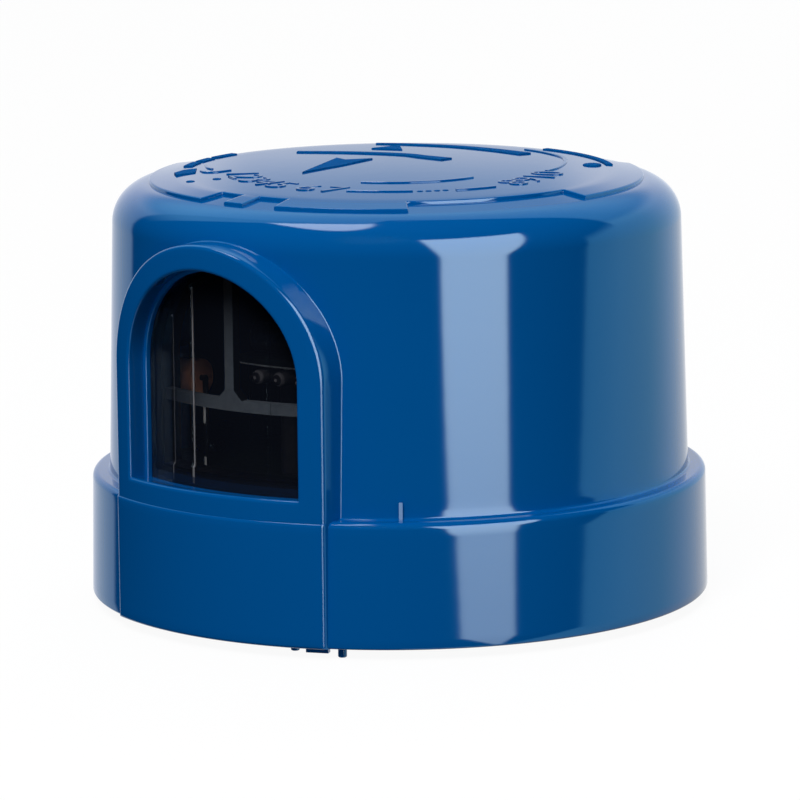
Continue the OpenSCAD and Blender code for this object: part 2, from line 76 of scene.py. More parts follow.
def addNode(tree, kind, inputs=(), **settings):
    # inputs by socket, or in the sockets' order: values, sockets, or nodes whose first output is meant
    node = tree.nodes.new(kind)
    for key, value in settings.items():
        setattr(node, key, value)
    for socket, value in inputs.items() if isinstance(inputs, dict) else enumerate(inputs):
        if isinstance(value, bpy.types.Node):
            value = value.outputs[0]
        if isinstance(value, bpy.types.NodeSocket):
            tree.links.new(value, node.inputs[socket])
        else:
            node.inputs[socket].default_value = value
    return node


def fillRamp(ramp, stops):
    # stops are pairs of a place along the ramp and a linear colour
    while len(ramp.elements) < len(stops):
        ramp.elements.new(0.5)
    for stop, (at, colour) in zip(ramp.elements, stops):
        stop.position = at
        stop.color = colour


def startMaterial(name, **sockets):
    material = bpy.data.materials.new(name)
    material.use_nodes = True
    tree = material.node_tree
    shader = tree.nodes["Principled BSDF"]
    for socket, value in sockets.items():
        shader.inputs[socket.replace("_", " ")].default_value = value
    return material, tree, shader


def mottled(name, low, high, size, roughs, bump=0.0, stretch=(1, 1, 1), **sockets):
    # a finish that drifts between two colours and two roughnesses over patches of the given size in mm
    material, tree, shader = startMaterial(name, **sockets)
    least, most = 0.3, 0.7  # most of the noise lies between these
    place = addNode(tree, placeNode)
    laid = addNode(tree, "ShaderNodeMapping", {"Vector": place.outputs["Object"], "Scale": stretch})
    cloud = addNode(tree, "ShaderNodeTexNoise", {"Vector": laid, "Scale": 1 / (size * mm), "Detail": 3.0})
    tint = addNode(tree, rampNode, [cloud.outputs["Fac"]])
    fillRamp(tint.color_ramp, [(least, linear(low)), (most, linear(high))])
    rough = addNode(tree, rangeNode, [cloud.outputs["Fac"], least, most, *roughs])
    tree.links.new(tint.outputs["Color"], shader.inputs["Base Color"])
    tree.links.new(rough.outputs[0], shader.inputs["Roughness"])
    if bump:
        relief = addNode(tree, "ShaderNodeBump", {
            "Height": cloud.outputs["Fac"], "Strength": 0.5, "Distance": bump * mm})
        tree.links.new(relief.outputs["Normal"], shader.inputs["Normal"])
    return material


def overlaid(material, mask, colour):
    # a second colour where the mask is 1
    tree = material.node_tree
    base = tree.nodes["Principled BSDF"].inputs["Base Color"]
    mixed = addNode(tree, mixNode, [mask, base.links[0].from_socket, linear(colour)])
    tree.links.new(mixed.outputs[0], base)
    return material


def intoScene(name, data):
    piece = bpy.data.objects.new(name, data)
    bpy.context.scene.collection.objects.link(piece)
    return piece


def toObject(name, points, faces, material, drop=rimDrop):
    # points are in mm, their heights measured up from the rim unless drop says otherwise
    placed = (np.asarray(points, float) - (0, 0, drop)) * mm
    mesh = bpy.data.meshes.new(name)
    mesh.from_pydata(placed.tolist(), [], faces)
    work = bmesh.new()
    work.from_mesh(mesh)
    bmesh.ops.recalc_face_normals(work, faces=work.faces)
    work.to_mesh(mesh)
    work.free()
    mesh.materials.append(material)
    return intoScene(name, mesh)


def smoothed(piece, degrees):
    piece.data.shade_smooth()
    piece.data.set_sharp_from_angle(angle=math.radians(degrees))
    return piece


def evaluated(piece):
    graph = bpy.context.evaluated_depsgraph_get()
    return bpy.data.meshes.new_from_object(piece.evaluated_get(graph))


def applied(piece):
    mesh = evaluated(piece)
    piece.modifiers.clear()
    piece.data = mesh
    return piece


def combined(piece, others, operation):
    for other in others:
        cut = piece.modifiers.new(operation.lower(), "BOOLEAN")
        cut.operation = operation
        cut.solver = "MANIFOLD"
        cut.material_mode = "TRANSFER"
        cut.object = other
    applied(piece)
    for other in others:
        bpy.data.objects.remove(other)
    return piece


def joined(name, pieces, material):
    # one object from several that don't touch
    work = bmesh.new()
    for piece in pieces:
        work.from_mesh(piece.data)
        bpy.data.objects.remove(piece)
    mesh = bpy.data.meshes.new(name)
    work.to_mesh(mesh)
    work.free()
    mesh.materials.append(material)
    return intoScene(name, mesh)


def addRow(points, rows, row):
    # adds a row of points and notes their numbers
    rows.append(list(range(len(points), len(points) + len(row))))
    points.extend(row)


def addPole(points, rows, z, count):
    # a row drawn together in one point on the axis
    points.append((0, 0, z))
    rows.append([len(points) - 1] * count)


def bridged(rows, closedRows, closedLoop=True):
    # faces between neighbouring rows of equal length, by point number; they narrow to triangles at a pole
    count = len(rows[0])
    pairs = list(zip(rows, rows[1:] + rows[:1])) if closedRows else list(zip(rows, rows[1:]))
    last = count if closedLoop else count - 1
    quads = [(a[i], a[(i + 1) % count], b[(i + 1) % count], b[i]) for a, b in pairs for i in range(last)]
    return [tuple(dict.fromkeys(quad)) for quad in quads]


def capped(rows):
    # a closed skin: walls between the rows, and the first and last row as ends
    return bridged(rows, closedRows=False) + [tuple(rows[0]), tuple(rows[-1])]


def slabFaces(front, back):
    # two grids of points and the walls between their edges
    faces = bridged(front, False, False) + bridged(back, False, False)
    for end in (0, -1):
        faces += bridged([front[end], back[end]], False, False)
    for end in (0, -1):
        faces += bridged([[row[end] for row in front], [row[end] for row in back]], False, False)
    return faces


def circle(x, y, radius, z, sides):
    around = np.linspace(0, 2 * math.pi, sides, endpoint=False)
    return [(x + radius * math.cos(t), y + radius * math.sin(t), z) for t in around]


def lathed(name, section, sides, material):
    # closed turned form about its own upright axis, from a section that starts and ends on that axis
    points, rows = [], []
    for r, z in section:
        if r == 0:
            addPole(points, rows, z, sides)
        else:
            addRow(points, rows, circle(0, 0, r, z, sides))
    faces = [face for face in bridged(rows, closedRows=False) if len(face) > 2]
    return toObject(name, points, faces, material, drop=0)


def arc(centre, radius, start, end, steps):
    turns = np.radians(np.linspace(start, end, steps + 1))
    return [(centre[0] + radius * math.cos(t), centre[1] + radius * math.sin(t)) for t in turns]


def turned(radius, turn, z):
    # turn is measured from the window, positive towards +X
    return (radius * math.sin(math.radians(turn)), -radius * math.cos(math.radians(turn)), z)


# camera, at the photograph's place: azimuth from the window, heights from the rim
view = {
    "azimuth": 37.4, "elevation": 12.25, "distance": 715.1, "pitch": 10.21, "yaw": 0.017, "roll": -0.57,
    "lens": 229.3, "sensorW": 36, "nearest": 0.05,
}


def makeCamera():
    angles = (view[k] for k in ("azimuth", "elevation", "pitch", "yaw", "roll"))
    az, el, down, yaw, roll = (math.radians(angle) for angle in angles)
    facing = az - yaw
    across = np.array([math.cos(facing), math.sin(facing), 0])
    ahead = np.array([-math.sin(facing), math.cos(facing), 0])
    forward = math.cos(down) * ahead - math.sin(down) * np.array([0, 0, 1])
    above = np.cross(across, forward)
    right = math.cos(roll) * across + math.sin(roll) * above
    up = math.cos(roll) * above - math.sin(roll) * across
    away = np.array([math.cos(el) * math.sin(az), -math.cos(el) * math.cos(az), math.sin(el)])
    spot = view["distance"] * away - (0, 0, rimDrop)
    data = bpy.data.cameras.new("camera")
    data.lens = view["lens"]
    data.sensor_width = view["sensorW"]
    data.clip_start = view["nearest"]
    camera = intoScene("camera", data)
    matrix = Matrix(np.column_stack([right, up, -forward]).tolist()).to_4x4()
    matrix.translation = spot * mm
    camera.matrix_world = matrix
    bpy.context.scene.camera = camera


makeCamera()
print("camera placed")


# materials

def bluePlastic():
    # injection-moulded ABS or polypropylene, dyed through: deep gloss with a faint waviness from the mould
    material, tree, shader = startMaterial("moulded_blue_plastic", Roughness=0.07, IOR=1.5)
    place = addNode(tree, placeNode).outputs["Object"]
    flow = addNode(tree, "ShaderNodeTexNoise", {"Vector": place, "Scale": 1 / (30 * mm), "Detail": 2.0})
    tint = addNode(tree, rampNode, [flow.outputs["Fac"]])
    fillRamp(tint.color_ramp, [(0, linear("#004a89")), (1, linear("#004e8f"))])
    tree.links.new(tint.outputs["Color"], shader.inputs["Base Color"])
    peel = addNode(tree, "ShaderNodeTexNoise", {"Vector": place, "Scale": 1 / (4 * mm), "Detail": 1.0})
    relief = addNode(tree, "ShaderNodeBump", {
        "Height": peel.outputs["Fac"], "Strength": 0.03, "Distance": 0.1 * mm})
    tree.links.new(relief.outputs["Normal"], shader.inputs["Normal"])
    return material


blue = bluePlastic()


def mattBluePlastic():
    # the same moulding where the tool was etched: figures on the top look darker, because they mirror nothing
    return mottled(
        "etched_blue_plastic", "#00447c", "#004c88", 0.6, (0.85, 0.95), bump=0.02, Specular_IOR_Level=0.06)


mattBlue = mattBluePlastic()


# cover: sizes in mm, heights from the rim, turns from the window
cover = {
    "skirtR": 43.0, "skirtH": 17.0, "skirtDraft": 0.3, "shoulderW": 2.4, "shoulderRound": 0.9, "wall": 2.0,
    "bodyH": 40.1, "bodyDraft": 0.95, "topRound": 5.5, "topSlope": 8.0, "crownH": 0.3,
    "discMargin": 5.15, "discStep": 0.45, "ringW": 3.8,
    "discGaps": [(-12.8, -5), (0.5, 9.0), (40, 85), (144, 181), (-181, -78)],
    "rimRound": 0.3, "footFillet": 0.4, "stepEdge": 0.17, "stepLean": 0.02, "stepWall": 0.7, "creaseW": 1.0,
    "segments": 360, "sideRows": 36, "gapTurns": (0, 0.035, 0.1, 0.18, 0.29, 0.6),
}
bodyR = cover["skirtR"] - cover["skirtDraft"] - cover["shoulderW"]
bodyTopR = bodyR - cover["bodyDraft"]
topZ = cover["skirtH"] + cover["bodyH"]
roundR = bodyTopR - cover["topRound"]
roundZ = topZ - cover["topRound"]
discR = bodyTopR - cover["discMargin"]
plateauR = discR - cover["ringW"]
slope = math.radians(cover["topSlope"])
slopeR = roundR + cover["topRound"] * math.sin(slope)
slopeZ = roundZ + cover["topRound"] * math.cos(slope)
plateauZ = slopeZ + (slopeR - plateauR) * math.tan(slope)
skirtInR = cover["skirtR"] - cover["wall"]
ledgeZ = cover["skirtH"] - cover["wall"]
inR = bodyR - cover["wall"]


def topZAt(r):
    # the moulding's top without its raised disc
    if r > slopeR:
        return roundZ + math.sqrt(max(cover["topRound"] ** 2 - (r - roundR) ** 2, 0))
    away, soft = r - plateauR, cover["creaseW"]
    fall = max(away, 0) if abs(away) > soft else (away + soft) ** 2 / (4 * soft)
    return plateauZ - fall * math.tan(slope)


def crownAt(r):
    return cover["crownH"] * (1 - min(r / plateauR, 1) ** 2)


def bodyRAt(z):
    if z < roundZ:
        return bodyR - cover["bodyDraft"] * (z - cover["skirtH"]) / (roundZ - cover["skirtH"])
    return roundR + math.sqrt(max(cover["topRound"] ** 2 - (z - roundZ) ** 2, 0))


def insideDisc(r, turn):
    # distance in from the raised disc's edge, negative outside it or in a notch
    depth = discR - r
    for start, end in cover["discGaps"]:
        past = max(start - turn, turn - end) * math.pi / 180 * r
        inward = plateauR - r
        if past <= 0:
            away = inward
        elif inward > 0:
            away = math.hypot(past, inward)
        else:
            away = past
        depth = min(depth, away)
    return depth


def discRise(r, turn):
    # steep wall, then a small rounding at its top
    depth, lean, edge, wall = insideDisc(r, turn), cover["stepLean"], cover["stepEdge"], cover["stepWall"]
    if depth <= 0:
        return 0
    rounding = (1 - wall) * (1 - min((depth - lean) / (edge - lean), 1)) ** 2
    return cover["discStep"] * (wall * depth / lean if depth < lean else 1 - rounding)


def coverTurns():
    turns = set(np.linspace(-180, 180, cover["segments"], endpoint=False).tolist())
    for start, end in cover["discGaps"]:
        for away in cover["gapTurns"]:
            turns.update((start - away, end + away))
    return sorted(t for t in turns if -180 <= t < 180)


def coverShell():
    # one turned skin from the middle of the inside, round the rim and up to the middle of the top
    c = cover
    skirtTopR, skirtTopZ, e = c["skirtR"] - c["skirtDraft"], c["skirtH"] - c["shoulderRound"], c["rimRound"]
    inside = [(0, topZ - c["wall"])] + arc((roundR, roundZ), c["topRound"] - c["wall"], 90, 0, 8)
    inside += [(inR, c["skirtH"]), (inR, ledgeZ), (skirtInR, ledgeZ), (skirtInR, e)]
    rim = arc((skirtInR + e, e), e, 180, 270, 4)[1:] + arc((c["skirtR"] - e, e), e, 270, 360, 4)
    rises = np.linspace(0, 1, 16)[1:]
    skirt = [(c["skirtR"] - c["skirtDraft"] * t, e + (skirtTopZ - e) * t) for t in rises]
    shoulder = arc((skirtTopR - c["shoulderRound"], skirtTopZ), c["shoulderRound"], 0, 90, 8)[1:]
    footZ = c["skirtH"] + c["footFillet"]
    foot = arc((bodyR + c["footFillet"], footZ), c["footFillet"], 270, 180, 6)
    side = [(bodyRAt(z), z) for z in np.linspace(footZ, roundZ, c["sideRows"])[1:]]
    rounding = arc((roundR, roundZ), c["topRound"], 0, 90 - c["topSlope"], 24)[1:]
    wallSteps = [0, c["stepLean"], 0.05, 0.09, 0.13, c["stepEdge"], 0.4]
    topRadii = [slopeR - 0.15, discR + 0.1] + [discR - k for k in wallSteps]
    topRadii += np.linspace(discR - 0.8, plateauR + c["creaseW"], 4).tolist()
    topRadii += [plateauR + 0.6, plateauR + 0.25] + [plateauR - k for k in wallSteps]
    topRadii += np.linspace(plateauR - c["creaseW"], 0.5, 24).tolist()
    turns = coverTurns()
    rows, points = [], []
    for r, z in inside + rim + skirt + shoulder + foot + side + rounding:
        if r == 0:
            addPole(points, rows, z, len(turns))
        else:
            addRow(points, rows, [turned(r, t, z) for t in turns])
    for r in topRadii:
        addRow(points, rows, [turned(r, t, topZAt(r) + crownAt(r) + discRise(r, t)) for t in turns])
    addPole(points, rows, plateauZ + c["crownH"] + c["discStep"], len(turns))
    return toObject("cover_shell", points, bridged(rows, closedRows=False), blue)


# window: the raised border, its reveal, lip and the tunnel that holds the lens
window = {
    "width": 28.7, "sillH": 2.9, "springH": 18.2, "frameW": 3.45, "bossOut": 3.2, "revealD": 3.0,
    "lipW": 0.5, "lipT": 1.0, "lensLap": 0.95, "fitGap": 0.05, "tunnelWall": 1.6, "tunnelInR": 33.95,
    "lensT": 1.8, "panelOut": 0.7, "sillFall": 0.5, "outerRound": 0.55, "innerRound": 0.5, "flare": 0.2,
    "footSunk": 0.5, "buriedR": 38.9, "rootDepths": (0.5, 0.03), "rootLap": 0.1,
    "cutMargin": 0.8, "cutReach": (-30, -50),
    "panelRound": 0.5, "panelLap": 0.4, "panelSteps": (72, 18), "edgeSteps": [0, 0.08, 0.3, 0.65, 1],
    "sillSteps": 60, "sideSteps": 24, "archSteps": 96,
}
sillZ = cover["skirtH"] + window["sillH"]
springZ = cover["skirtH"] + window["springH"]
bossR = bodyR + window["bossOut"]
lipR = bossR - window["revealD"]
lensSeatR = lipR - window["lipT"]
lensHalf = window["width"] / 2 + window["lensLap"]
lensSillZ = sillZ - window["lensLap"]
bossHalf = window["width"] / 2 + window["frameW"]


def archLoop(half, foot):
    # closed outline: sill, right side, half circle, left side
    sill = [(u, foot) for u in np.linspace(-half, half, window["sillSteps"], endpoint=False)]
    right = [(half, z) for z in np.linspace(foot, springZ, window["sideSteps"], endpoint=False)]
    turns = np.linspace(0, math.pi, window["archSteps"], endpoint=False)
    arch = [(half * math.cos(t), springZ + half * math.sin(t)) for t in turns]
    left = [(-half, z) for z in np.linspace(springZ, foot, window["sideSteps"], endpoint=False)]
    return sill + right + arch + left


def onDrum(u, z, radius):
    return (u, -math.sqrt(radius ** 2 - u ** 2), z)


def archRing(name, layers, material):
    # each layer is a half width, a foot height and a radius, which may be a function of height
    points, rows = [], []
    for half, foot, radius in layers:
        loop = archLoop(half, foot)
        addRow(points, rows, [onDrum(u, z, radius(z) if callable(radius) else radius) for u, z in loop])
    return toObject(name, points, bridged(rows, closedRows=True), material)


def windowBorder():
    # from the tunnel's inner end over the border's sides and face, and back in to the lens's pocket
    w = window
    half, foot = w["width"] / 2, cover["skirtH"] - w["footSunk"]
    pocket, pocketFoot = lensHalf + w["fitGap"], lensSillZ - w["fitGap"]
    tunnel, tunnelFoot = pocket + w["tunnelWall"], pocketFoot - w["tunnelWall"]
    layers = [(tunnel, tunnelFoot, w["tunnelInR"]), (tunnel, tunnelFoot, w["buriedR"])]
    for depth in w["rootDepths"]:
        layers.append((bossHalf + w["flare"] + w["rootLap"], foot, lambda z, depth=depth: bodyRAt(z) - depth))
    for t in np.radians(np.linspace(8, 90, 8)):
        out, rise = w["flare"] * (1 - math.sin(t)), w["flare"] * (1 - math.cos(t))
        layers.append((bossHalf + out, foot, lambda z, rise=rise: bodyRAt(z) + rise))
    e = w["outerRound"]
    for t in np.radians(np.linspace(0, 90, 9)):
        layers.append((bossHalf - e + e * math.cos(t), foot, bossR - e + e * math.sin(t)))
    layers += [(bossHalf - w["frameW"] * k, foot + (sillZ - foot) * k, bossR) for k in (0.4, 0.6, 0.8)]
    e = w["innerRound"]
    for t in np.radians(np.linspace(90, 0, 7)):
        layers.append((half + e - e * math.cos(t), sillZ - e + e * math.cos(t), bossR - e + e * math.sin(t)))
    inner = sillZ - w["sillFall"]
    for t in np.linspace(0, 1, 6)[1:]:
        layers.append((half, sillZ - w["sillFall"] * t, bossR - e + (lipR - bossR + e) * t))
    e = w["lipW"]
    for t in np.radians(np.linspace(0, 90, 7))[1:]:
        layers.append((half - e * math.sin(t), inner, lipR - e + e * math.cos(t)))
    layers.append((half - e, inner, lensSeatR))
    layers += [(pocket, pocketFoot, radius) for radius in (lensSeatR, w["tunnelInR"])]
    return archRing("window_border", layers, blue)


def windowCutter():
    # clears the drum's wall behind the border; its edge stays inside the border
    loop = archLoop(lensHalf + window["cutMargin"], lensSillZ - window["cutMargin"])
    points, rows = [], []
    for y in window["cutReach"]:
        addRow(points, rows, [(u, y, z) for u, z in loop])
    return toObject("window_cutter", points, capped(rows), blue)


def skirtPanel():
    # curved pad below the window, with rounded edges
    half, height, e = bossHalf, cover["skirtH"], window["panelRound"]
    outR, backR = cover["skirtR"] + window["panelOut"], skirtInR + window["panelLap"]

    def spaced(low, high, steps):
        near = [low + e * k for k in window["edgeSteps"]]
        far = [high - e * k for k in window["edgeSteps"][::-1]]
        return near + np.linspace(low + e, high - e, steps)[1:-1].tolist() + far

    def drop(distance):
        return e - math.sqrt(max(e ** 2 - max(e - distance, 0) ** 2, 0))

    across, upward = spaced(-half, half, window["panelSteps"][0]), spaced(0, height, window["panelSteps"][1])
    points, front, back = [], [], []
    for z in upward:
        drops = [max(drop(half - abs(u)), drop(min(z, height - z))) for u in across]
        addRow(points, front, [onDrum(u, z, outR - fall) for u, fall in zip(across, drops)])
    for z in upward:
        addRow(points, back, [onDrum(u, z, backR) for u in across])
    return toObject("skirt_panel", points, slabFaces(front, back), blue)


# small moulded features
details = {
    "tickTurn": 37.6, "tickSize": (0.5, 0.7, 2.5), "tickLean": 0.13, "tickRoot": (1.0, 0.5),
    "rimTab": (20.2, 24.3), "rimTabDrop": 0.65, "rimTabInset": 0.5, "rimTabRoot": 0.8,
    "pegD": 1.2, "pegs": [(17.2, 0.9), (26.4, 1.5)], "pegLap": 0.25, "pegRoot": 3, "pegRound": 0.2,
    "postTurns": (65, 180, 295), "postD": 7.0, "postH": 18.0, "postWallGap": 1.3,
    "boreD": 2.9, "boreDepth": 13.0, "boreStart": 1.0, "webT": 1.6, "webLap": 0.6, "webShort": 0.01,
}
postR = inR - details["postD"] / 2 - details["postWallGap"]


def stick(name, centre, diameter, low, high, sides=40, rounding=0.0):
    # upright closed cylinder whose lower end may be rounded
    r = diameter / 2
    section = arc((r - rounding, low + rounding), rounding, 270, 360, 4) if rounding else [(r, low)]
    points, rows = [], []
    for radius, z in section + [(r, high)]:
        addRow(points, rows, circle(*centre, radius, z, sides))
    return toObject(name, points, capped(rows), blue)


def block(name, corners, low, high):
    # upright prism on four corners
    points = [(x, y, low) for x, y in corners] + [(x, y, high) for x, y in corners]
    faces = [(0, 1, 2, 3), (4, 5, 6, 7)] + [(i, (i + 1) % 4, 4 + (i + 1) % 4, 4 + i) for i in range(4)]
    return toObject(name, points, faces, blue)


def turnedBlock(name, turn, nearR, farR, width, low, high, lean=0.0):
    # an upright block that points outward; lean draws its right front edge back
    t = math.radians(turn)
    out = np.array([math.sin(t), -math.cos(t)])
    side = np.array([math.cos(t), math.sin(t)]) * width / 2
    corners = [nearR * out - side, farR * out - side, (farR - lean) * out + side, nearR * out + side]
    return block(name, [tuple(c) for c in corners], low, high)


def smallFeatures():
    d, c, made = details, cover, []
    width, out, height = d["tickSize"]
    inward, below = d["tickRoot"]
    made.append(turnedBlock("tick", d["tickTurn"], bodyR - inward, bodyR + out, width,
                            c["skirtH"] - below, c["skirtH"] + height, d["tickLean"]))
    middle, span = sum(d["rimTab"]) / 2, math.radians(d["rimTab"][1] - d["rimTab"][0])
    made.append(turnedBlock("rim_tab", middle, skirtInR + d["rimTabInset"], c["skirtR"] - d["rimTabInset"],
                            span * c["skirtR"], -d["rimTabDrop"], d["rimTabRoot"]))
    for number, (turn, drop) in enumerate(d["pegs"]):
        spot = turned(skirtInR - d["pegD"] / 2 + d["pegLap"], turn, 0)[:2]
        made.append(stick(f"peg_{number}", spot, d["pegD"], -drop, d["pegRoot"], rounding=d["pegRound"]))
    for number, turn in enumerate(d["postTurns"]):
        top, short = ledgeZ + d["postH"], d["webShort"]
        made.append(stick(f"post_{number}", turned(postR, turn, 0)[:2], d["postD"], ledgeZ, top))
        made.append(turnedBlock(f"web_{number}", turn, postR, inR + d["webLap"], d["webT"],
                                ledgeZ + short, top - short))
    return made


def postBores():
    d, made = details, []
    for number, turn in enumerate(d["postTurns"]):
        low, high = ledgeZ - d["boreStart"], ledgeZ + d["boreDepth"]
        made.append(stick(f"bore_{number}", turned(postR, turn, 0)[:2], d["boreD"], low, high))
    return made


# raised marks on the top, in mm across the object: x to the right of the window, y to its back
marks = {
    "lift": 0.18, "sink": 0.6, "chamfer": 0.07, "steps": 10,
    "arcs": [(14.2, 0.7, 18, 84), (22.2, 0.6, 20, 43), (22.8, 0.6, 58, 73)],
    "etchedArcs": [
        (29.7, 1.1, -92, -83), (29.6, 1.3, -81, -74), (29.6, 1.3, -72, -64), (29.8, 1.0, 134, 172),
    ],
    "etchedBars": [
        ([(-19.6, 21.0), (-15.5, 22.6), (-8.1, 24.2), (-1.1, 24.0), (5.4, 22.9)], 0.6, 2.3),
        ([(-23.0, 7.0), (-16.0, 10.2), (-8.3, 12.3), (-4.0, 11.8), (0.1, 11.5)], 1.0, 2.3),
    ],
    "bars": [
        ([(18.5, 9.8), (17.6, 13.9), (14.8, 19.5), (11.4, 23.4), (6.2, 26.3), (2.2, 27.5)], 0.5, 0.6),
        ([(-18.7, -13.3), (-19.4, -15.6), (-20.6, -16.4), (-21.8, -15.7)], 0.5, 0.7),
        ([(-21.8, -13.5), (-23.3, -12.7), (-25.4, -10.5)], 0.4, 0.4),
    ],
    "shapes": [
        [(-8.1, -10.7), (-8.0, -1.6), (-8.8, 6.1), (-11.2, 2.9), (-13.4, 3.8)],
        [(-16.4, 15.7), (-11.7, 16.8), (-14.9, 20.4)],
        [(-22.0, -21.1), (-21.4, -17.6), (-23.9, -14.3), (-24.4, -16.6), (-23.6, -19.6)],
    ],
    "pips": [(19.7, 19.0, 1.3), (-16.7, -24.4, 0.6), (-14.9, -20.9, 0.6)]
    + [(*turned(22.4, t, 0)[:2], 0.42) for t in (45.5, 48.5, 51.5, 54.5)],
    "numerals": [(t, str(n + 1)) for n, t in enumerate((-45, -36, -27, -18, -9, 4, 14))]
    + [(t, str(n + 8)) for n, t in enumerate((85, 94, 107.5))],
    "numeralR": 23.7, "numeralH": 4.8, "numeralLift": 0.13, "numeralThin": 0.1,
    "figureShare": 0.7, "curveSteps": 8, "mergeGap": 0.002,
    "pipSection": [(0, -0.5), (1, -0.5), (1, 0.08), (0.9, 0.15), (0.6, 0.2), (0, 0.22)], "pipSides": 20,
}


def markZ(x, y):
    r = math.hypot(x, y)
    return topZAt(r) + crownAt(r) + cover["discStep"]


def through(points, steps):
    # smooth path through a few points
    spots = [np.array(p, float) for p in points]
    spots = [2 * spots[0] - spots[1]] + spots + [2 * spots[-1] - spots[-2]]
    path = []
    for a, b, c, d in zip(spots, spots[1:], spots[2:], spots[3:]):
        bend, twist = 2 * a - 5 * b + 4 * c - d, 3 * b - a - 3 * c + d
        for t in np.linspace(0, 1, steps, endpoint=False):
            path.append(0.5 * (2 * b + (c - a) * t + bend * t ** 2 + twist * t ** 3))
    return path + [np.array(points[-1], float)]


def raisedBar(name, path, startW, endW):
    # a low bar along a path, chamfered at its top edges
    m, points, rows = marks, [], []
    ways = np.gradient(np.array(path), axis=0)
    for spot, way, width in zip(path, ways, np.linspace(startW, endW, len(path))):
        side = np.array([way[1], -way[0]]) / np.linalg.norm(way) * width / 2
        inner = side * (1 - 2 * m["chamfer"] / width)
        top = markZ(*spot) + m["lift"]
        low, edge = top - m["sink"], top - m["chamfer"]
        section = [(spot - side, low), (spot + side, low), (spot + side, edge)]
        section += [(spot + inner, top), (spot - inner, top), (spot - side, edge)]
        addRow(points, rows, [(p[0], p[1], z) for p, z in section])
    return toObject(name, points, capped(rows), blue)


def raisedShape(name, outline):
    # a low flat figure, chamfered by drawing its top in towards its middle
    m, outline, points, rows = marks, np.array(outline), [], []
    middle = outline.mean(axis=0)
    reach = np.linalg.norm(outline - middle, axis=1).mean()
    drawnIn = middle + (outline - middle) * (1 - m["chamfer"] / reach)
    top = markZ(*middle) + m["lift"]
    for loop, z in ((outline, top - m["sink"]), (outline, top - m["chamfer"]), (drawnIn, top)):
        addRow(points, rows, [(x, y, z) for x, y in loop])
    return toObject(name, points, capped(rows), mattBlue)


def topMarks():
    m = marks
    glossy, etched = [], [raisedShape(f"figure_{n}", outline) for n, outline in enumerate(m["shapes"])]
    for group, arcs, bars in ((glossy, m["arcs"], m["bars"]), (etched, m["etchedArcs"], m["etchedBars"])):
        for radius, width, start, end in arcs:
            turns = np.linspace(start, end, max(6, int(end - start)))
            group.append(raisedBar("arc", [np.array(turned(radius, t, 0)[:2]) for t in turns], width, width))
        for points, startW, endW in bars:
            group.append(raisedBar("bar", through(points, m["steps"]), startW, endW))
    return [joined("glossy_marks", glossy, blue), joined("etched_marks", etched, mattBlue)]


def makeNumerals():
    # plain numbers round the top, a little lower than the other marks
    m, work = marks, bmesh.new()
    for turn, number in m["numerals"]:
        data = bpy.data.curves.new("numeral", "FONT")
        data.body = number
        data.align_x = "CENTER"
        data.size = m["numeralH"] / m["figureShare"] * mm  # figures fill about this share of the font's size
        data.extrude = m["numeralLift"] * mm
        data.offset = -m["numeralThin"] * mm
        data.resolution_u = m["curveSteps"]
        piece = intoScene("numeral", data)
        mesh = evaluated(piece)
        middle = turned(m["numeralR"] - m["numeralH"] / 2, turn, 0)
        spot = Vector(turned(m["numeralR"], turn, markZ(*middle[:2]) - rimDrop)) * mm
        mesh.transform(Matrix.Translation(spot) @ Matrix.Rotation(math.radians(turn), 4, "Z"))
        work.from_mesh(mesh)
        bpy.data.objects.remove(piece)
    bmesh.ops.remove_doubles(work, verts=work.verts, dist=m["mergeGap"] * mm)
    bmesh.ops.recalc_face_normals(work, faces=work.faces)
    mesh = bpy.data.meshes.new("raised_numerals")
    work.to_mesh(mesh)
    work.free()
    mesh.materials.clear()
    mesh.materials.append(blue)
    piece = intoScene("raised_numerals", mesh)
    mesh.shade_flat()
    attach(piece, "root")


def scatterTree():
    # puts one small master on every point, turned and sized by the point's own values
    tree = bpy.data.node_groups.new("scatterMaster", "GeometryNodeTree")
    kinds = {"Geometry": "Geometry", "Master": "Object", "Size": "Float", "Finish": "Material"}
    for name, kind in kinds.items():
        tree.interface.new_socket(name, in_out="INPUT", socket_type=f"NodeSocket{kind}")
    tree.interface.new_socket("Geometry", in_out="OUTPUT", socket_type="NodeSocketGeometry")
    given = addNode(tree, "NodeGroupInput").outputs
    points = addNode(tree, "GeometryNodeMeshToPoints", {"Mesh": given["Geometry"]})
    master = addNode(tree, "GeometryNodeObjectInfo", {"Object": given["Master"]})
    spin = addNode(tree, "GeometryNodeInputNamedAttribute", {"Name": "spin"}, data_type="FLOAT_VECTOR")
    share = addNode(tree, "GeometryNodeInputNamedAttribute", {"Name": "share"}, data_type="FLOAT")
    size = addNode(tree, mathNode, [share.outputs["Attribute"], given["Size"]], operation="MULTIPLY")
    placed = addNode(tree, "GeometryNodeInstanceOnPoints", {
        "Points": points, "Instance": master.outputs["Geometry"],
        "Rotation": spin.outputs["Attribute"], "Scale": size})
    whole = addNode(tree, "GeometryNodeRealizeInstances", [placed])
    dressed = addNode(tree, "GeometryNodeSetMaterial", {"Geometry": whole, "Material": given["Finish"]})
    addNode(tree, "NodeGroupOutput", [dressed])
    return tree


scatter = scatterTree()


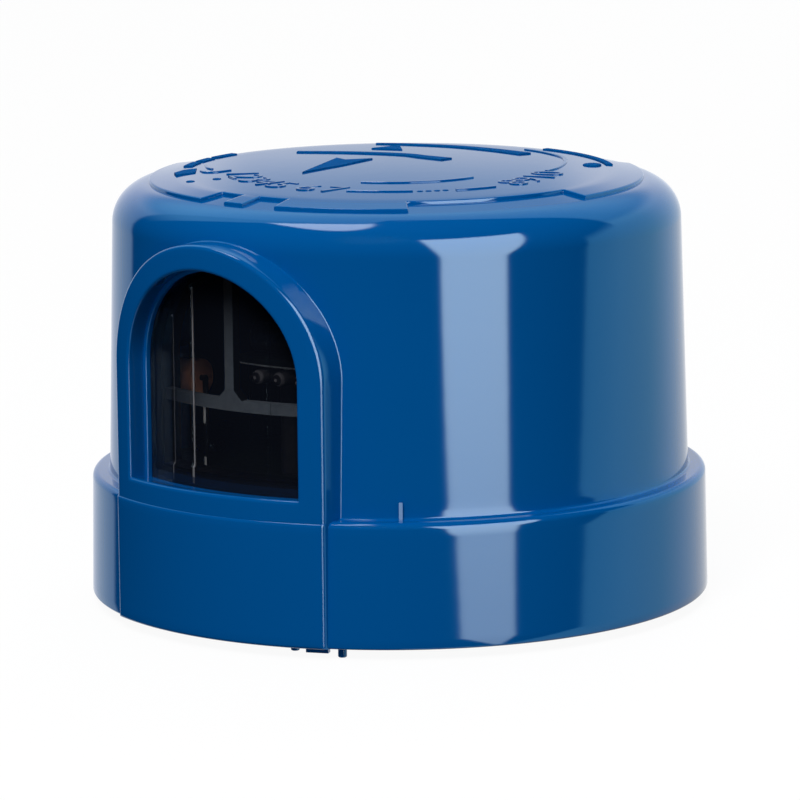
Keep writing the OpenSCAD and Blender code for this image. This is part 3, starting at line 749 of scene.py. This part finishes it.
def scattered(name, spots, master, finish, spins=None, shares=None, size=1.0):
    # spots in mm from the rim; the result is one plain mesh
    piece = toObject(name, spots, [], finish)
    spinValues = piece.data.attributes.new("spin", "FLOAT_VECTOR", "POINT")
    spinValues.data.foreach_set("vector", np.array(spins or [(0, 0, 0)] * len(spots), float).ravel())
    shareValues = piece.data.attributes.new("share", "FLOAT", "POINT")
    shareValues.data.foreach_set("value", np.array(shares or [1] * len(spots), float))
    grown = piece.modifiers.new("scatter", "NODES")
    values = {"Master": master, "Size": size, "Finish": finish}
    grown.node_group = scatter
    for socket in scatter.interface.items_tree:
        if socket.in_out == "INPUT" and socket.name in values:
            grown[socket.identifier] = values[socket.name]
    applied(piece)
    bpy.data.objects.remove(master)
    return smoothed(piece, 35)


def makePips():
    dome = lathed("dome", marks["pipSection"], marks["pipSides"], blue)
    spots = [(x, y, markZ(x, y)) for x, y, _ in marks["pips"]]
    pips = scattered("raised_pips", spots, dome, mattBlue, shares=[r for _, _, r in marks["pips"]])
    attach(pips, "root")


def makeCover():
    shell = coverShell()
    combined(shell, [windowCutter()], "DIFFERENCE")
    combined(shell, [windowBorder(), skirtPanel()] + smallFeatures() + topMarks(), "UNION")
    combined(shell, postBores(), "DIFFERENCE")
    shell.name = "moulded_cover"
    smoothed(shell, 38)
    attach(shell, "root")
    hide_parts("cover")
    return shell


mouldedCover = makeCover()
makeNumerals()
makePips()
print("cover:", len(mouldedCover.data.polygons), "faces")


# lens: smoked polycarbonate, with the upright beads on its inner face
lens = {
    "beadTurns": (9.9, 16.7), "beadD": 0.8, "beadMargin": 0.4, "retainerW": 2.2,
    "tint": ("#0e1119", "#12161f"), "clearAlpha": 0.4, "bandAlpha": 0.86, "shadowAlpha": 0.05, "band": 1.8,
    "bandSoft": 0.05, "highlightBeads": [(-9.9, 0.2), (-16.7, 0.1)], "highlightFoot": 0.5, "highlightDepth": 0.1,
    "columns": 64, "rows": 72, "beadColumns": 10,
}
clearHalf = lensHalf - lens["retainerW"] - lens["beadMargin"]


def pastOutline(tree, place, width):
    # how far a point lies outside the lens's outline drawn in by a width, in metres
    parts = addNode(tree, partsNode, [place])
    rise = addNode(tree, mathNode, [parts.outputs["Z"], (springZ - rimDrop) * mm], operation="SUBTRACT")
    above = addNode(tree, mathNode, [rise, 0.0], operation="MAXIMUM")
    flat = addNode(tree, "ShaderNodeCombineXYZ", [parts.outputs["X"], above])
    out = addNode(tree, vectorNode, [flat], operation="LENGTH")
    side = addNode(tree, mathNode, [out.outputs["Value"], (lensHalf - width) * mm], operation="SUBTRACT")
    sill = (lensSillZ + width - rimDrop) * mm
    foot = addNode(tree, mathNode, [sill, parts.outputs["Z"]], operation="SUBTRACT")
    return addNode(tree, mathNode, [side, foot], operation="MAXIMUM")


def smokedPlastic():
    # tinted clear polycarbonate: near black, mirror-smooth, with just enough light through it to see the parts
    # behind; its edge band is made more opaque, a painted shade over the retainer's frame behind it
    material, tree, shader = startMaterial("smoked_polycarbonate", Roughness=0.04, IOR=1.58)
    place = addNode(tree, placeNode).outputs["Object"]
    cloud = addNode(tree, "ShaderNodeTexNoise", {"Vector": place, "Scale": 1 / (12 * mm)})
    tint = addNode(tree, rampNode, [cloud.outputs["Fac"]])
    fillRamp(tint.color_ramp, [(at, linear(colour)) for at, colour in enumerate(lens["tint"])])
    tree.links.new(tint.outputs["Color"], shader.inputs["Base Color"])
    # painted shade: the band over the retainer's frame lets less light through than the clear middle
    past, soft = pastOutline(tree, place, lens["band"]), lens["bandSoft"] * mm
    band = addNode(tree, rangeNode, [past, -soft, soft, lens["clearAlpha"], lens["bandAlpha"]])
    # more light reaches the inside than the eye sees through the tint
    shadow = addNode(tree, "ShaderNodeLightPath").outputs["Is Shadow Ray"]
    shaded = addNode(tree, "ShaderNodeMix", {0: shadow, 2: band, 3: lens["shadowAlpha"]})
    tree.links.new(shaded.outputs[0], shader.inputs["Alpha"])
    return material


def beadHighlightPaint():
    # painted highlight: two beads on the lens's back, on the left only, are coloured pale for the soft line of
    # light they catch
    return mottled("bead_painted_highlight", "#a4a5ab", "#b4b5bb", 3.0, (0.3, 0.4), IOR=1.58, Alpha=0.6)


def beadRelief(u, z, backR):
    # how far the beads stand in from the lens's back
    foot = lensSillZ + lens["retainerW"] + lens["beadMargin"]
    if abs(u) >= clearHalf or not foot <= z <= springZ + math.sqrt(clearHalf ** 2 - u ** 2):
        return 0
    turn, radius = math.asin(u / backR), lens["beadD"] / 2
    offsets = [(abs(turn) - math.radians(bead)) * backR for bead in lens["beadTurns"]]
    return max(math.sqrt(max(radius ** 2 - away ** 2, 0)) for away in offsets)


def makeLens():
    outR = lensSeatR - window["fitGap"]
    backR = outR - window["lensT"]
    across = set((lensHalf * np.sin(np.linspace(-math.pi / 2, math.pi / 2, lens["columns"]))).tolist())
    for bead in lens["beadTurns"]:
        for side in (-1, 1):
            middle = side * backR * math.sin(math.radians(bead))
            offsets = np.linspace(-math.pi / 2, math.pi / 2, lens["beadColumns"])
            across.update((middle + lens["beadD"] / 2 * np.sin(offsets)).tolist())
    across = sorted(across)
    points, front, back = [], [], []
    for grid, radius in ((front, outR), (back, backR)):
        for u in across:
            top = springZ + math.sqrt(max(lensHalf ** 2 - u ** 2, 0))
            heights = np.linspace(lensSillZ, top, lens["rows"])
            relief = [beadRelief(u, z, backR) if grid is back else 0 for z in heights]
            addRow(points, grid, [onDrum(u, z, radius - r) for z, r in zip(heights, relief)])
    piece = smoothed(toObject("smoked_lens", points, slabFaces(front, back), smokedPlastic()), 40)
    piece.data.materials.append(beadHighlightPaint())
    # painted highlight: faces of the two left beads get the pale second material
    for face in piece.data.polygons:
        x, y, z = face.center / mm
        inside = math.hypot(x, y) < backR + lens["highlightDepth"] and lensSillZ + lens["highlightFoot"] < z + rimDrop
        top = springZ - rimDrop + math.sqrt(max(clearHalf ** 2 - x ** 2, 0))
        aways = [abs(x - backR * math.sin(math.radians(turn))) - half for turn, half in lens["highlightBeads"]]
        if inside and z < top and min(aways) < 0:
            face.material_index = 1
    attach(piece, "root")
    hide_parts("window_lens")


makeLens()
print("lens made")


# finishes of the pieces behind the lens and below, each given to the nodes that are made of it

# retainer: where it lies in shade, in mm, and how dark that is
retainer = {
    "frameLap": 0.2, "frameShadeSoft": 0.1, "duskAcross": (-11, -3), "duskShare": 0.88,
    "shadeBelowTop": (16, 3), "shadeShare": 0.55, "sideNormal": 0.7,
}


def slatePlastic():
    # glass-filled nylon, dyed slate: satin, with a fine grain; painted shade darkens its frame, its left part,
    # its upper part and its faces turned to +X towards near black
    material = mottled("slate_nylon", "#59616a", "#666e77", 1.2, (0.4, 0.52), bump=0.01)
    tree, r = material.node_tree, retainer
    place = addNode(tree, placeNode).outputs
    past, soft = pastOutline(tree, place["Object"], lens["retainerW"] + r["frameLap"]), r["frameShadeSoft"] * mm
    # painted shade: the frame, the left part, the upper part and the faces turned to +X go towards near black
    darkest = addNode(tree, rangeNode, [past, -soft, soft])
    at, facing = (addNode(tree, partsNode, [place[kind]]).outputs for kind in ("Object", "Normal"))
    left, right = (x * mm for x in r["duskAcross"])
    dusk = addNode(tree, rangeNode, [at["X"], left, right, r["duskShare"], 0.0])
    low, high = (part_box("lens_retainer")[1].z - below * mm for below in r["shadeBelowTop"])
    shade = addNode(tree, rangeNode, [at["Z"], low, high, 0.0, r["shadeShare"]])
    sideways = addNode(tree, mathNode, [facing["X"], r["sideNormal"]], operation="GREATER_THAN")
    for mask in (dusk, shade, sideways):
        darkest = addNode(tree, mathNode, [darkest, mask], operation="MAXIMUM")
    return overlaid(material, darkest, "#08090b")


def blackPlastic():
    # phenolic moulding: near black, a dull sheen and a slight flow pattern
    return mottled("black_phenolic", "#1b1b1d", "#262628", 2.5, (0.38, 0.55), bump=0.015)


def foamRubber():
    # closed-cell sponge: matt charcoal full of small cells, drawn a little coarse so that they show
    material, tree, shader = startMaterial("sponge_rubber", Roughness=0.9)
    place = addNode(tree, placeNode).outputs["Object"]
    cells = addNode(tree, "ShaderNodeTexVoronoi", {"Vector": place, "Scale": 1 / (0.7 * mm)})
    tint = addNode(tree, rampNode, [cells.outputs["Distance"]])
    fillRamp(tint.color_ramp, [(0, linear("#1d1d1e")), (1, linear("#3a3a3c"))])
    tree.links.new(tint.outputs["Color"], shader.inputs["Base Color"])
    relief = addNode(tree, "ShaderNodeBump", {
        "Height": cells.outputs["Distance"], "Strength": 0.6, "Distance": 0.2 * mm})
    tree.links.new(relief.outputs["Normal"], shader.inputs["Normal"])
    return material


def stampedBrass():
    # cold-rolled strip: warm yellow metal with faint rolling lines along the blade
    return mottled(
        "stamped_brass", "#b8944a", "#cfae66", 0.5, (0.24, 0.34),
        bump=0.0012, stretch=(1, 1, 0.08), Metallic=1.0)


def zincSteel():
    # bright zinc plate: cool grey metal, slightly cloudy
    return mottled("zinc_plated_steel", "#a5a8ab", "#c3c6c8", 0.8, (0.24, 0.36), bump=0.003, Metallic=1.0)


# boards: the painted highlight line's height above the small board's lower face, and half its width, in mm
boards = {"highlightUp": 0.14, "highlightHalf": 0.11}


def boardLaminate():
    # glass-epoxy laminate under black solder mask: satin, mottled by the weave;
    # a pale painted highlight runs in a fine line along the small board's lower edge
    material = mottled("glass_epoxy_laminate", "#101412", "#1a201c", 0.9, (0.3, 0.42), bump=0.006)
    tree, edge = material.node_tree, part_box("sensor_board")[0].z + boards["highlightUp"] * mm
    at = addNode(tree, partsNode, [addNode(tree, placeNode).outputs["Object"]]).outputs
    # painted highlight: a pale fine line along the small board's lower edge
    line = addNode(tree, mathNode, [at["Z"], edge, boards["highlightHalf"] * mm], operation="COMPARE")
    return overlaid(material, line, "#9aa0a4")


def dippedEpoxy(name, low, high):
    # dip coating: glossy and uneven where it ran
    return mottled(name, low, high, 3.0, (0.16, 0.26), bump=0.05)


def shrinkSleeve():
    # polyester sleeve shrunk on a can: dark and glossy, faintly rippled
    return mottled("shrink_sleeve", "#16181f", "#20232c", 4.0, (0.2, 0.3), bump=0.03)


def brownEnamel():
    # flameproof enamel on a wire-wound resistor: warm copper brown, half gloss
    return mottled("brown_enamel", "#eea684", "#ffb896", 2.0, (0.28, 0.42), bump=0.04)


def tinnedWire():
    # tinned copper: bright, a little drawn along its length
    return mottled("tinned_copper", "#c3c5c7", "#dcdedf", 0.6, (0.25, 0.4), Metallic=0.9)


# resistor's leads: colours by share of their height, and the normal's X above which the painted highlight
# gives way to the sleeving
leads = {
    "lengths": [(0.0, "#dcdddf"), (0.11, "#101114"), (0.48, "#e4e5e6"), (0.66, "#101114")],
    "sleeving": "#101114", "highlightSide": 0.55,
}


def sleevedLead():
    # stiff lead under black sleeving; two short lengths are painted pale as a highlight, except on the faces
    # turned towards +X
    material, tree, shader = startMaterial("sleeved_lead", Roughness=0.45)
    low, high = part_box("resistor_leads")
    place = addNode(tree, placeNode).outputs
    at, facing = (addNode(tree, partsNode, [place[kind]]).outputs for kind in ("Object", "Normal"))
    tint = addNode(tree, rampNode, [addNode(tree, rangeNode, [at["Z"], low.z, high.z])])
    tint.color_ramp.interpolation = "CONSTANT"
    fillRamp(tint.color_ramp, [(share, linear(colour)) for share, colour in leads["lengths"]])
    tree.links.new(tint.outputs["Color"], shader.inputs["Base Color"])
    # painted highlight: faces turned towards +X keep the dark sleeving colour
    pastHighlight = addNode(tree, mathNode, [facing["X"], leads["highlightSide"]], operation="GREATER_THAN")
    return overlaid(material, pastHighlight, leads["sleeving"])


def darkNylon():
    # nylon coloured near black, a painted shade where the posts sit in the dark behind the lens: waxy
    return mottled("dark_nylon", "#232325", "#2e2e30", 2.0, (0.4, 0.5))


# light sensors: sizes in mm, and their colours from the middle out, by share of the flange's radius; the pale
# middle and the pale ring are painted highlights
sensors = {
    "pitch": 3.6, "flangeD": 2.7,
    "rings": [
        (0.0, "#8d8b90"), (0.14, "#8d8b90"), (0.2, "#1f1e22"), (0.5, "#26252a"),
        (0.57, "#7b797e"), (0.7, "#77757a"), (0.76, "#313034"), (1.0, "#4a494d"),
    ],
}


def clearEpoxy():
    # cast clear epoxy: a polished dark dome, with painted highlights as a pale ring near its rim and a pale
    # spot in its middle
    material, tree, shader = startMaterial("clear_epoxy", Roughness=0.06, IOR=1.52)
    low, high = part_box("light_sensors")
    middle, half, flangeR = (low.x + high.x) / 2, sensors["pitch"] * mm / 2, sensors["flangeD"] * mm / 2
    at = addNode(tree, partsNode, [addNode(tree, placeNode).outputs["Object"]]).outputs
    along = addNode(tree, mathNode, [at["X"], middle - half, middle + half], operation="WRAP")
    across = addNode(tree, mathNode, [along, middle], operation="SUBTRACT")
    upward = addNode(tree, mathNode, [at["Z"], high.z - flangeR], operation="SUBTRACT")
    flat = addNode(tree, "ShaderNodeCombineXYZ", [across, upward])
    out = addNode(tree, vectorNode, [flat], operation="LENGTH")
    share = addNode(tree, mathNode, [out.outputs["Value"], flangeR], operation="DIVIDE")
    # painted highlights: pale rings of colour across each dome
    tint = addNode(tree, rampNode, [share])
    fillRamp(tint.color_ramp, [(ring, linear(colour)) for ring, colour in sensors["rings"]])
    tree.links.new(tint.outputs["Color"], shader.inputs["Base Color"])
    return material


def drawnAluminium():
    # deep-drawn can: pale metal with fine rings
    return mottled("drawn_aluminium", "#84868a", "#9da0a4", 0.5, (0.3, 0.42), bump=0.003, Metallic=1.0)


# screws and rivets: sizes in mm, heights from the rim; a screw's size is its diameter, length, head's width
# and head's height
fasteners = {
    "baseTurns": (65, 180, 295), "baseR": 33.5, "baseZ": 13.7, "baseSpins": (0.3, 1.1, 0.7),
    "baseSize": (2.8, 12.0, 5.88, 1.7),
    "boardTurns": (60, 180, 300), "boardR": 27.0, "boardZ": 18.6, "boardSpins": (0.2, 0.9, 0.5),
    "boardSize": (2.3, 5.4, 4.6, 1.5),
    "rivetTurns": (0, 120, 240), "rivetR": 11.6, "rivetD": 2.9, "rivetHead": (4.8, 0.8),
    "rivetZ": (9.0, 17.4), "rivetDome": [(0, 0), (0.5, 0.08), (0.85, 0.4), (1, 1)],
    "panHead": [(0, 1), (0.55, 0.98), (0.8, 0.9), (0.94, 0.7), (1, 0.4)], "headEdge": 0.08, "neck": 0.4,
    "pitch": 0.9, "threadDepth": 0.22, "threadEnd": 1.2, "tip": (0.6, 0.1),
    "crossW": 0.75, "crossSpan": 0.62, "crossDepth": 0.95, "crossStart": 0.5, "sides": 32,
}


def panScrew(name, size, finish):
    # pan head below zero, thread above it; rings stand for the thread, which stays hidden in its hole
    f, (diameter, length, headD, headH) = fasteners, size
    r, headR, e, pitch = diameter / 2, headD / 2, f["headEdge"], f["pitch"]
    section = [(headR * out, -headH * down) for out, down in f["panHead"]]
    section += [(headR, -e), (headR - e, 0), (r, 0), (r, f["neck"])]
    for z in np.arange(f["neck"], length - f["threadEnd"], pitch):
        section += [(r - f["threadDepth"], z + pitch / 2), (r, z + pitch)]
    section += [(r * f["tip"][0], length - f["tip"][1]), (0, length)]
    screw = lathed(name, section, f["sides"], finish)
    wide, far = f["crossW"] / 2, headD * f["crossSpan"] / 2
    low, high = -headH - f["crossStart"] + rimDrop, -headH + f["crossDepth"] + rimDrop
    slots = []
    for x, y in ((wide, far), (far, wide)):
        slots.append(block("slot", [(-x, -y), (x, -y), (x, y), (-x, y)], low, high))
    return combined(screw, slots, "DIFFERENCE")


def makeFasteners(finish):
    f, made = fasteners, {}
    kinds = (("base_screws", "lower_screws", "base", 0), ("board_screws", "upper_screws", "board", math.pi))
    for node, name, kind, over in kinds:
        screw = panScrew("screw", f[kind + "Size"], finish)
        spots = [turned(f[kind + "R"], t, f[kind + "Z"]) for t in f[kind + "Turns"]]
        made[node] = scattered(name, spots, screw, finish, [(over, 0, spin) for spin in f[kind + "Spins"]])
    low, high = f["rivetZ"]
    headR, headH = f["rivetHead"][0] / 2, f["rivetHead"][1]
    dome = [(headR * out, low + headH * up) for out, up in f["rivetDome"]]
    shank = [(f["rivetD"] / 2, low + headH), (f["rivetD"] / 2, high - headH)]
    section = dome + shank + [(r, low + high - z) for r, z in dome[::-1]]
    rivet = lathed("rivet", section, f["sides"], finish)
    spots = [turned(f["rivetR"], t, 0) for t in f["rivetTurns"]]
    made["blade_rivets"] = scattered("domed_rivets", spots, rivet, finish)
    for node, piece in made.items():
        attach(piece, "root")
        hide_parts(node)


steel = zincSteel()
makeFasteners(steel)
print("fasteners made")

finishes = [
    (slatePlastic(), ["lens_retainer"]),
    (blackPlastic(), ["base_plate", "relay", "rectifier_diodes"]),
    (foamRubber(), ["gasket"]),
    (stampedBrass(), ["line_blade", "load_blade", "neutral_blade"]),
    (steel, ["blade_rivets", "base_screws", "board_screws"]),
    (boardLaminate(), ["main_board", "sensor_board"]),
    (dippedEpoxy("red_dipped_epoxy", "#6a1f16", "#84291c"), ["film_capacitor"]),
    (dippedEpoxy("blue_dipped_epoxy", "#1f3f7a", "#2b4f92"), ["surge_varistor"]),
    (shrinkSleeve(), ["electrolytic_capacitor"]),
    (brownEnamel(), ["dropping_resistor"]),
    (sleevedLead(), ["resistor_leads"]),
    (tinnedWire(), ["diode_leads", "sensor_leads"]),
    (darkNylon(), ["sensor_posts"]),
    (clearEpoxy(), ["light_sensors"]),
    (drawnAluminium(), ["sensor_capacitor"]),
]
for finish, names in finishes:
    for name in names:
        for slot in nodes[name].material_slots:
            slot.material = finish
print("finishes given to", sum(len(names) for _, names in finishes), "nodes")


# studio: pale floor, white behind, soft boxes; turns are from the camera's side, to the right, in degrees
studio = {
    "floorSize": 6.0, "floorWhite": 0.94, "fill": 0.26,
    "backdrop": [
        (-180, (0.93, 0.95, 0.99)), (-165, (0.78, 0.85, 1.0)), (-147, (0.62, 0.8, 1.0)),
        (-134.5, (0.5, 0.72, 0.95)), (-132.5, (0, 0, 0)), (81, (0, 0, 0)),
        (83, (0.33, 1.2, 1.8)), (102, (0.46, 1.35, 2.05)), (125, (0.46, 1.12, 1.65)),
        (143, (0.66, 1.05, 1.5)), (163, (0.83, 0.95, 1.12)), (180, (0.93, 0.95, 0.99)),
    ],
    "rightLean": 2.4, "leanBelow": -6.0, "backTint": (0.31, 0.44, 0.6), "tintHeights": (2.0, 11.5),
    "sideLift": 20.0, "sideStep": (0.03, 0.06, 0.0, -8.0), "wallHeights": (3.0, 9.0, 1.0, 0.0),
    "rightPanelTop": (84.0, 16.0, 0.64), "panelSoft": (-4.0, 10.0), "panelFade": (18.0, 34.0, 1.0, 0.5),
    "ceilingLeft": (0.62, -0.73), "ceilingRight": (0.2, -0.38), "ceilingTurn": (-0.1, 0.0),
    "ceilingSoft": 0.04, "ceilingHeights": (14.0, 45.0), "ceilingAcross": (-0.45, 0.05, 1.2, 0.72),
    "ceilingGlow": (0.36, 0.9, 1.1),
    "patch": (-0.248, -0.16), "patchSize": (0.18, 0.42), "patchEdge": (0.88, 1.05, 1.0, 0.0),
    "patchAbove": (0.3, 0.5), "patchGlow": (5.8, 6.6, 7.4),
    "stripLow": (9.6, 1.15), "stripHigh": (16.4, 0.13), "stripRight": (46.2, 0.35), "stripSoft": 2.5,
    "stripHeights": (-26.0, 44.5), "stripFade": (-12.0, -5.0, 0.55, 1.0), "stripGlow": (6.0, 8.0, 9.5),
    "lamps": [
        {"name": "key_lamp", "turn": -12, "height": 46, "away": 1.2, "size": 0.5, "watts": 13.7},
        {"name": "top_lamp", "turn": 0, "height": 88, "away": 1.2, "size": 0.9, "watts": 2.2},
        {"name": "back_lamp", "turn": 165, "height": 40, "away": 1.4, "size": 0.7, "watts": 5.0},
    ],
}


def makeWorld():
    s = studio
    world = bpy.data.worlds.new("studio")
    world.use_nodes = True
    tree = world.node_tree
    tree.nodes.clear()
    place, turnBack = addNode(tree, placeNode).outputs["Generated"], -math.radians(view["azimuth"])
    faced = addNode(
        tree, "ShaderNodeVectorRotate", {"Vector": place, "Angle": turnBack}, rotation_type="Z_AXIS")
    parts = addNode(tree, partsNode, [faced])
    right, upward = parts.outputs["X"], parts.outputs["Z"]
    nearer = addNode(tree, mathNode, [parts.outputs["Y"], -1.0], operation="MULTIPLY")
    around = addNode(tree, mathNode, [right, nearer], operation="ARCTAN2")
    turn = addNode(tree, mathNode, [around], operation="DEGREES")
    lifted = addNode(tree, mathNode, [upward], operation="ARCSINE")
    height = addNode(tree, mathNode, [lifted], operation="DEGREES")

    # white paper behind and at the sides, bluer higher up
    onRight = addNode(tree, mathNode, [turn, 0.0], operation="GREATER_THAN")
    below = addNode(tree, mathNode, [height, s["leanBelow"]], operation="SUBTRACT")
    low = addNode(tree, mathNode, [below, 0.0], operation="MINIMUM")
    lowRight = addNode(tree, mathNode, [low, onRight], operation="MULTIPLY")
    leaned = addNode(tree, mathNode, [lowRight, -s["rightLean"], turn], operation="MULTIPLY_ADD")
    wall = addNode(tree, rampNode, [addNode(tree, rangeNode, [leaned, -180.0, 180.0])])
    fillRamp(wall.color_ramp, [(at / 360 + 0.5, (*colour, 1)) for at, colour in s["backdrop"]])
    aside = addNode(tree, mathNode, [right], operation="ABSOLUTE")
    raised = addNode(tree, mathNode, [aside, -s["sideLift"], height], operation="MULTIPLY_ADD")
    step = addNode(tree, rangeNode, [aside, *s["sideStep"]], **smoothly)
    sunk = addNode(tree, mathNode, [raised, step], operation="ADD")
    bluer = addNode(tree, rangeNode, [sunk, *s["tintHeights"]], **smoothly)
    tint = addNode(tree, mixNode, [bluer, (1, 1, 1, 1), (*s["backTint"], 1)])
    paper = addNode(tree, vectorNode, [wall, tint], operation="MULTIPLY")

    # ceiling behind a line that runs over the object, and the right panel's slanting top
    leftEdge = addNode(tree, mathNode, [upward, *s["ceilingLeft"]], operation="MULTIPLY_ADD")
    rightEdge = addNode(tree, mathNode, [right, *s["ceilingRight"]], operation="MULTIPLY_ADD")
    side = addNode(tree, rangeNode, [right, *s["ceilingTurn"]], **smoothly)
    apart = addNode(tree, mathNode, [rightEdge, leftEdge], operation="SUBTRACT")
    edge = addNode(tree, mathNode, [apart, side, leftEdge], operation="MULTIPLY_ADD")
    past = addNode(tree, mathNode, [edge, nearer], operation="SUBTRACT")
    behind = addNode(tree, rangeNode, [past, 0.0, s["ceilingSoft"]], **smoothly)
    panelTurn, panelTop, panelRise = s["rightPanelTop"]
    fromTurn = addNode(tree, mathNode, [turn, panelTurn], operation="SUBTRACT")
    topLine = addNode(tree, mathNode, [fromTurn, panelRise, panelTop], operation="MULTIPLY_ADD")
    under = addNode(tree, mathNode, [topLine, height], operation="SUBTRACT")

    # round lamp overhead, in front of the ceiling
    squares = []
    for value, middle, size in zip((right, nearer), s["patch"], s["patchSize"]):
        offset = addNode(tree, mathNode, [value, middle], operation="SUBTRACT")
        share = addNode(tree, mathNode, [offset, size], operation="DIVIDE")
        squares.append(addNode(tree, mathNode, [share, 2.0], operation="POWER"))
    away = addNode(tree, mathNode, [addNode(tree, mathNode, squares, operation="ADD")], operation="SQRT")
    before = addNode(tree, mathNode, [1.0, behind], operation="SUBTRACT")

    # tall strip light at the right of the camera, between leaning edges
    soft = s["stripSoft"] / 2
    edges = [(height, s["stripHeights"][0], 0.0), (height, s["stripHeights"][1], 1.0)]
    for name, lean, first in (("stripLow", 1, 0.0), ("stripHigh", 1, 0.0), ("stripRight", -1, 1.0)):
        at, share = s[name]
        line = addNode(tree, mathNode, [height, lean * share, turn], operation="MULTIPLY_ADD")
        edges.append((line, at, first))
    stripEdges = [(value, at - soft, at + soft, first, 1.0 - first) for value, at, first in edges]

    # each light's share is the product of its soft edges
    shares = {}
    for name, start, fades in (
            ("panel", onRight, [(under, *s["panelSoft"]), (height, *s["panelFade"])]),
            ("ceiling", behind, [(height, *s["ceilingHeights"]), (right, *s["ceilingAcross"])]),
            ("patch", before, [(away, *s["patchEdge"]), (upward, *s["patchAbove"])]),
            ("strip", 1.0, [(height, *s["stripFade"])] + stripEdges)):
        shares[name] = start
        for fade in fades:
            faded = addNode(tree, rangeNode, fade, **smoothly)
            shares[name] = addNode(tree, mathNode, [shares[name], faded], operation="MULTIPLY")
    shown = addNode(tree, rangeNode, [height, *s["wallHeights"]], **smoothly)
    for part in (behind, shares["panel"]):
        shown = addNode(tree, mathNode, [shown, part], operation="MAXIMUM")
    total = addNode(tree, vectorNode, {0: paper, "Scale": shown}, operation="SCALE")
    for name in ("ceiling", "patch", "strip"):
        part = addNode(tree, vectorNode, {0: s[name + "Glow"], "Scale": shares[name]}, operation="SCALE")
        total = addNode(tree, vectorNode, [total, part], operation="ADD")

    rays = addNode(tree, "ShaderNodeLightPath").outputs
    plain = (1, 1, 1, 1)
    fill = addNode(tree, "ShaderNodeBackground", [plain, s["fill"]])
    mirrored = addNode(tree, "ShaderNodeBackground", [total, 1.0])
    white = addNode(tree, "ShaderNodeBackground", [plain, 1.0])
    shiny = addNode(tree, "ShaderNodeMixShader", [rays["Is Glossy Ray"], fill, mirrored])
    straight = [rays["Is Camera Ray"], rays["Is Transmission Ray"]]
    direct = addNode(tree, mathNode, straight, operation="MAXIMUM")
    seen = addNode(tree, "ShaderNodeMixShader", [direct, shiny, white])
    addNode(tree, "ShaderNodeOutputWorld", {"Surface": seen})
    bpy.context.scene.world = world


def makeLamps():
    aim = (cadBox[0] + cadBox[1]) / 2
    for lamp in studio["lamps"]:
        data = bpy.data.lights.new(lamp["name"], "AREA")
        data.size = lamp["size"]
        data.energy = lamp["watts"]
        turn, height = math.radians(lamp["turn"] + view["azimuth"]), math.radians(lamp["height"])
        level = math.cos(height)
        way = Vector((math.sin(turn) * level, -math.cos(turn) * level, math.sin(height)))
        source = intoScene(lamp["name"], data)
        source.location = aim + way * lamp["away"]
        source.rotation_euler = way.to_track_quat("Z", "Y").to_euler()
        source.visible_glossy = False  # the world holds the boxes that show in the gloss


def makeFloor():
    half, low = studio["floorSize"] / 2, cadBox[0].z
    mesh = bpy.data.meshes.new("floor")
    corners = [(-half, -half, low), (half, -half, low), (half, half, low), (-half, half, low)]
    mesh.from_pydata(corners, [], [(0, 1, 2, 3)])
    floor = intoScene("floor", mesh)
    material, tree, shader = startMaterial("pale_floor", Roughness=0.9)
    shader.inputs["Base Color"].default_value = linear("#f2f2f2")
    direct = addNode(tree, "ShaderNodeLightPath").outputs["Is Camera Ray"]
    share = addNode(tree, mathNode, [direct, studio["floorWhite"]], operation="MULTIPLY")
    paper = addNode(tree, "ShaderNodeEmission", [(1, 1, 1, 1), 1.0])
    mixed = addNode(tree, "ShaderNodeMixShader", [share, shader, paper])
    tree.links.new(mixed.outputs[0], tree.nodes["Material Output"].inputs["Surface"])
    mesh.materials.append(material)
    floor.visible_glossy = False  # the gloss shows the dark room in front, as in the photograph
    floor.visible_diffuse = False  # the world's fill already stands for the floor's own bounce


makeWorld()
makeLamps()
makeFloor()
bpy.context.scene.view_settings.view_transform = "Standard"
print("studio set")
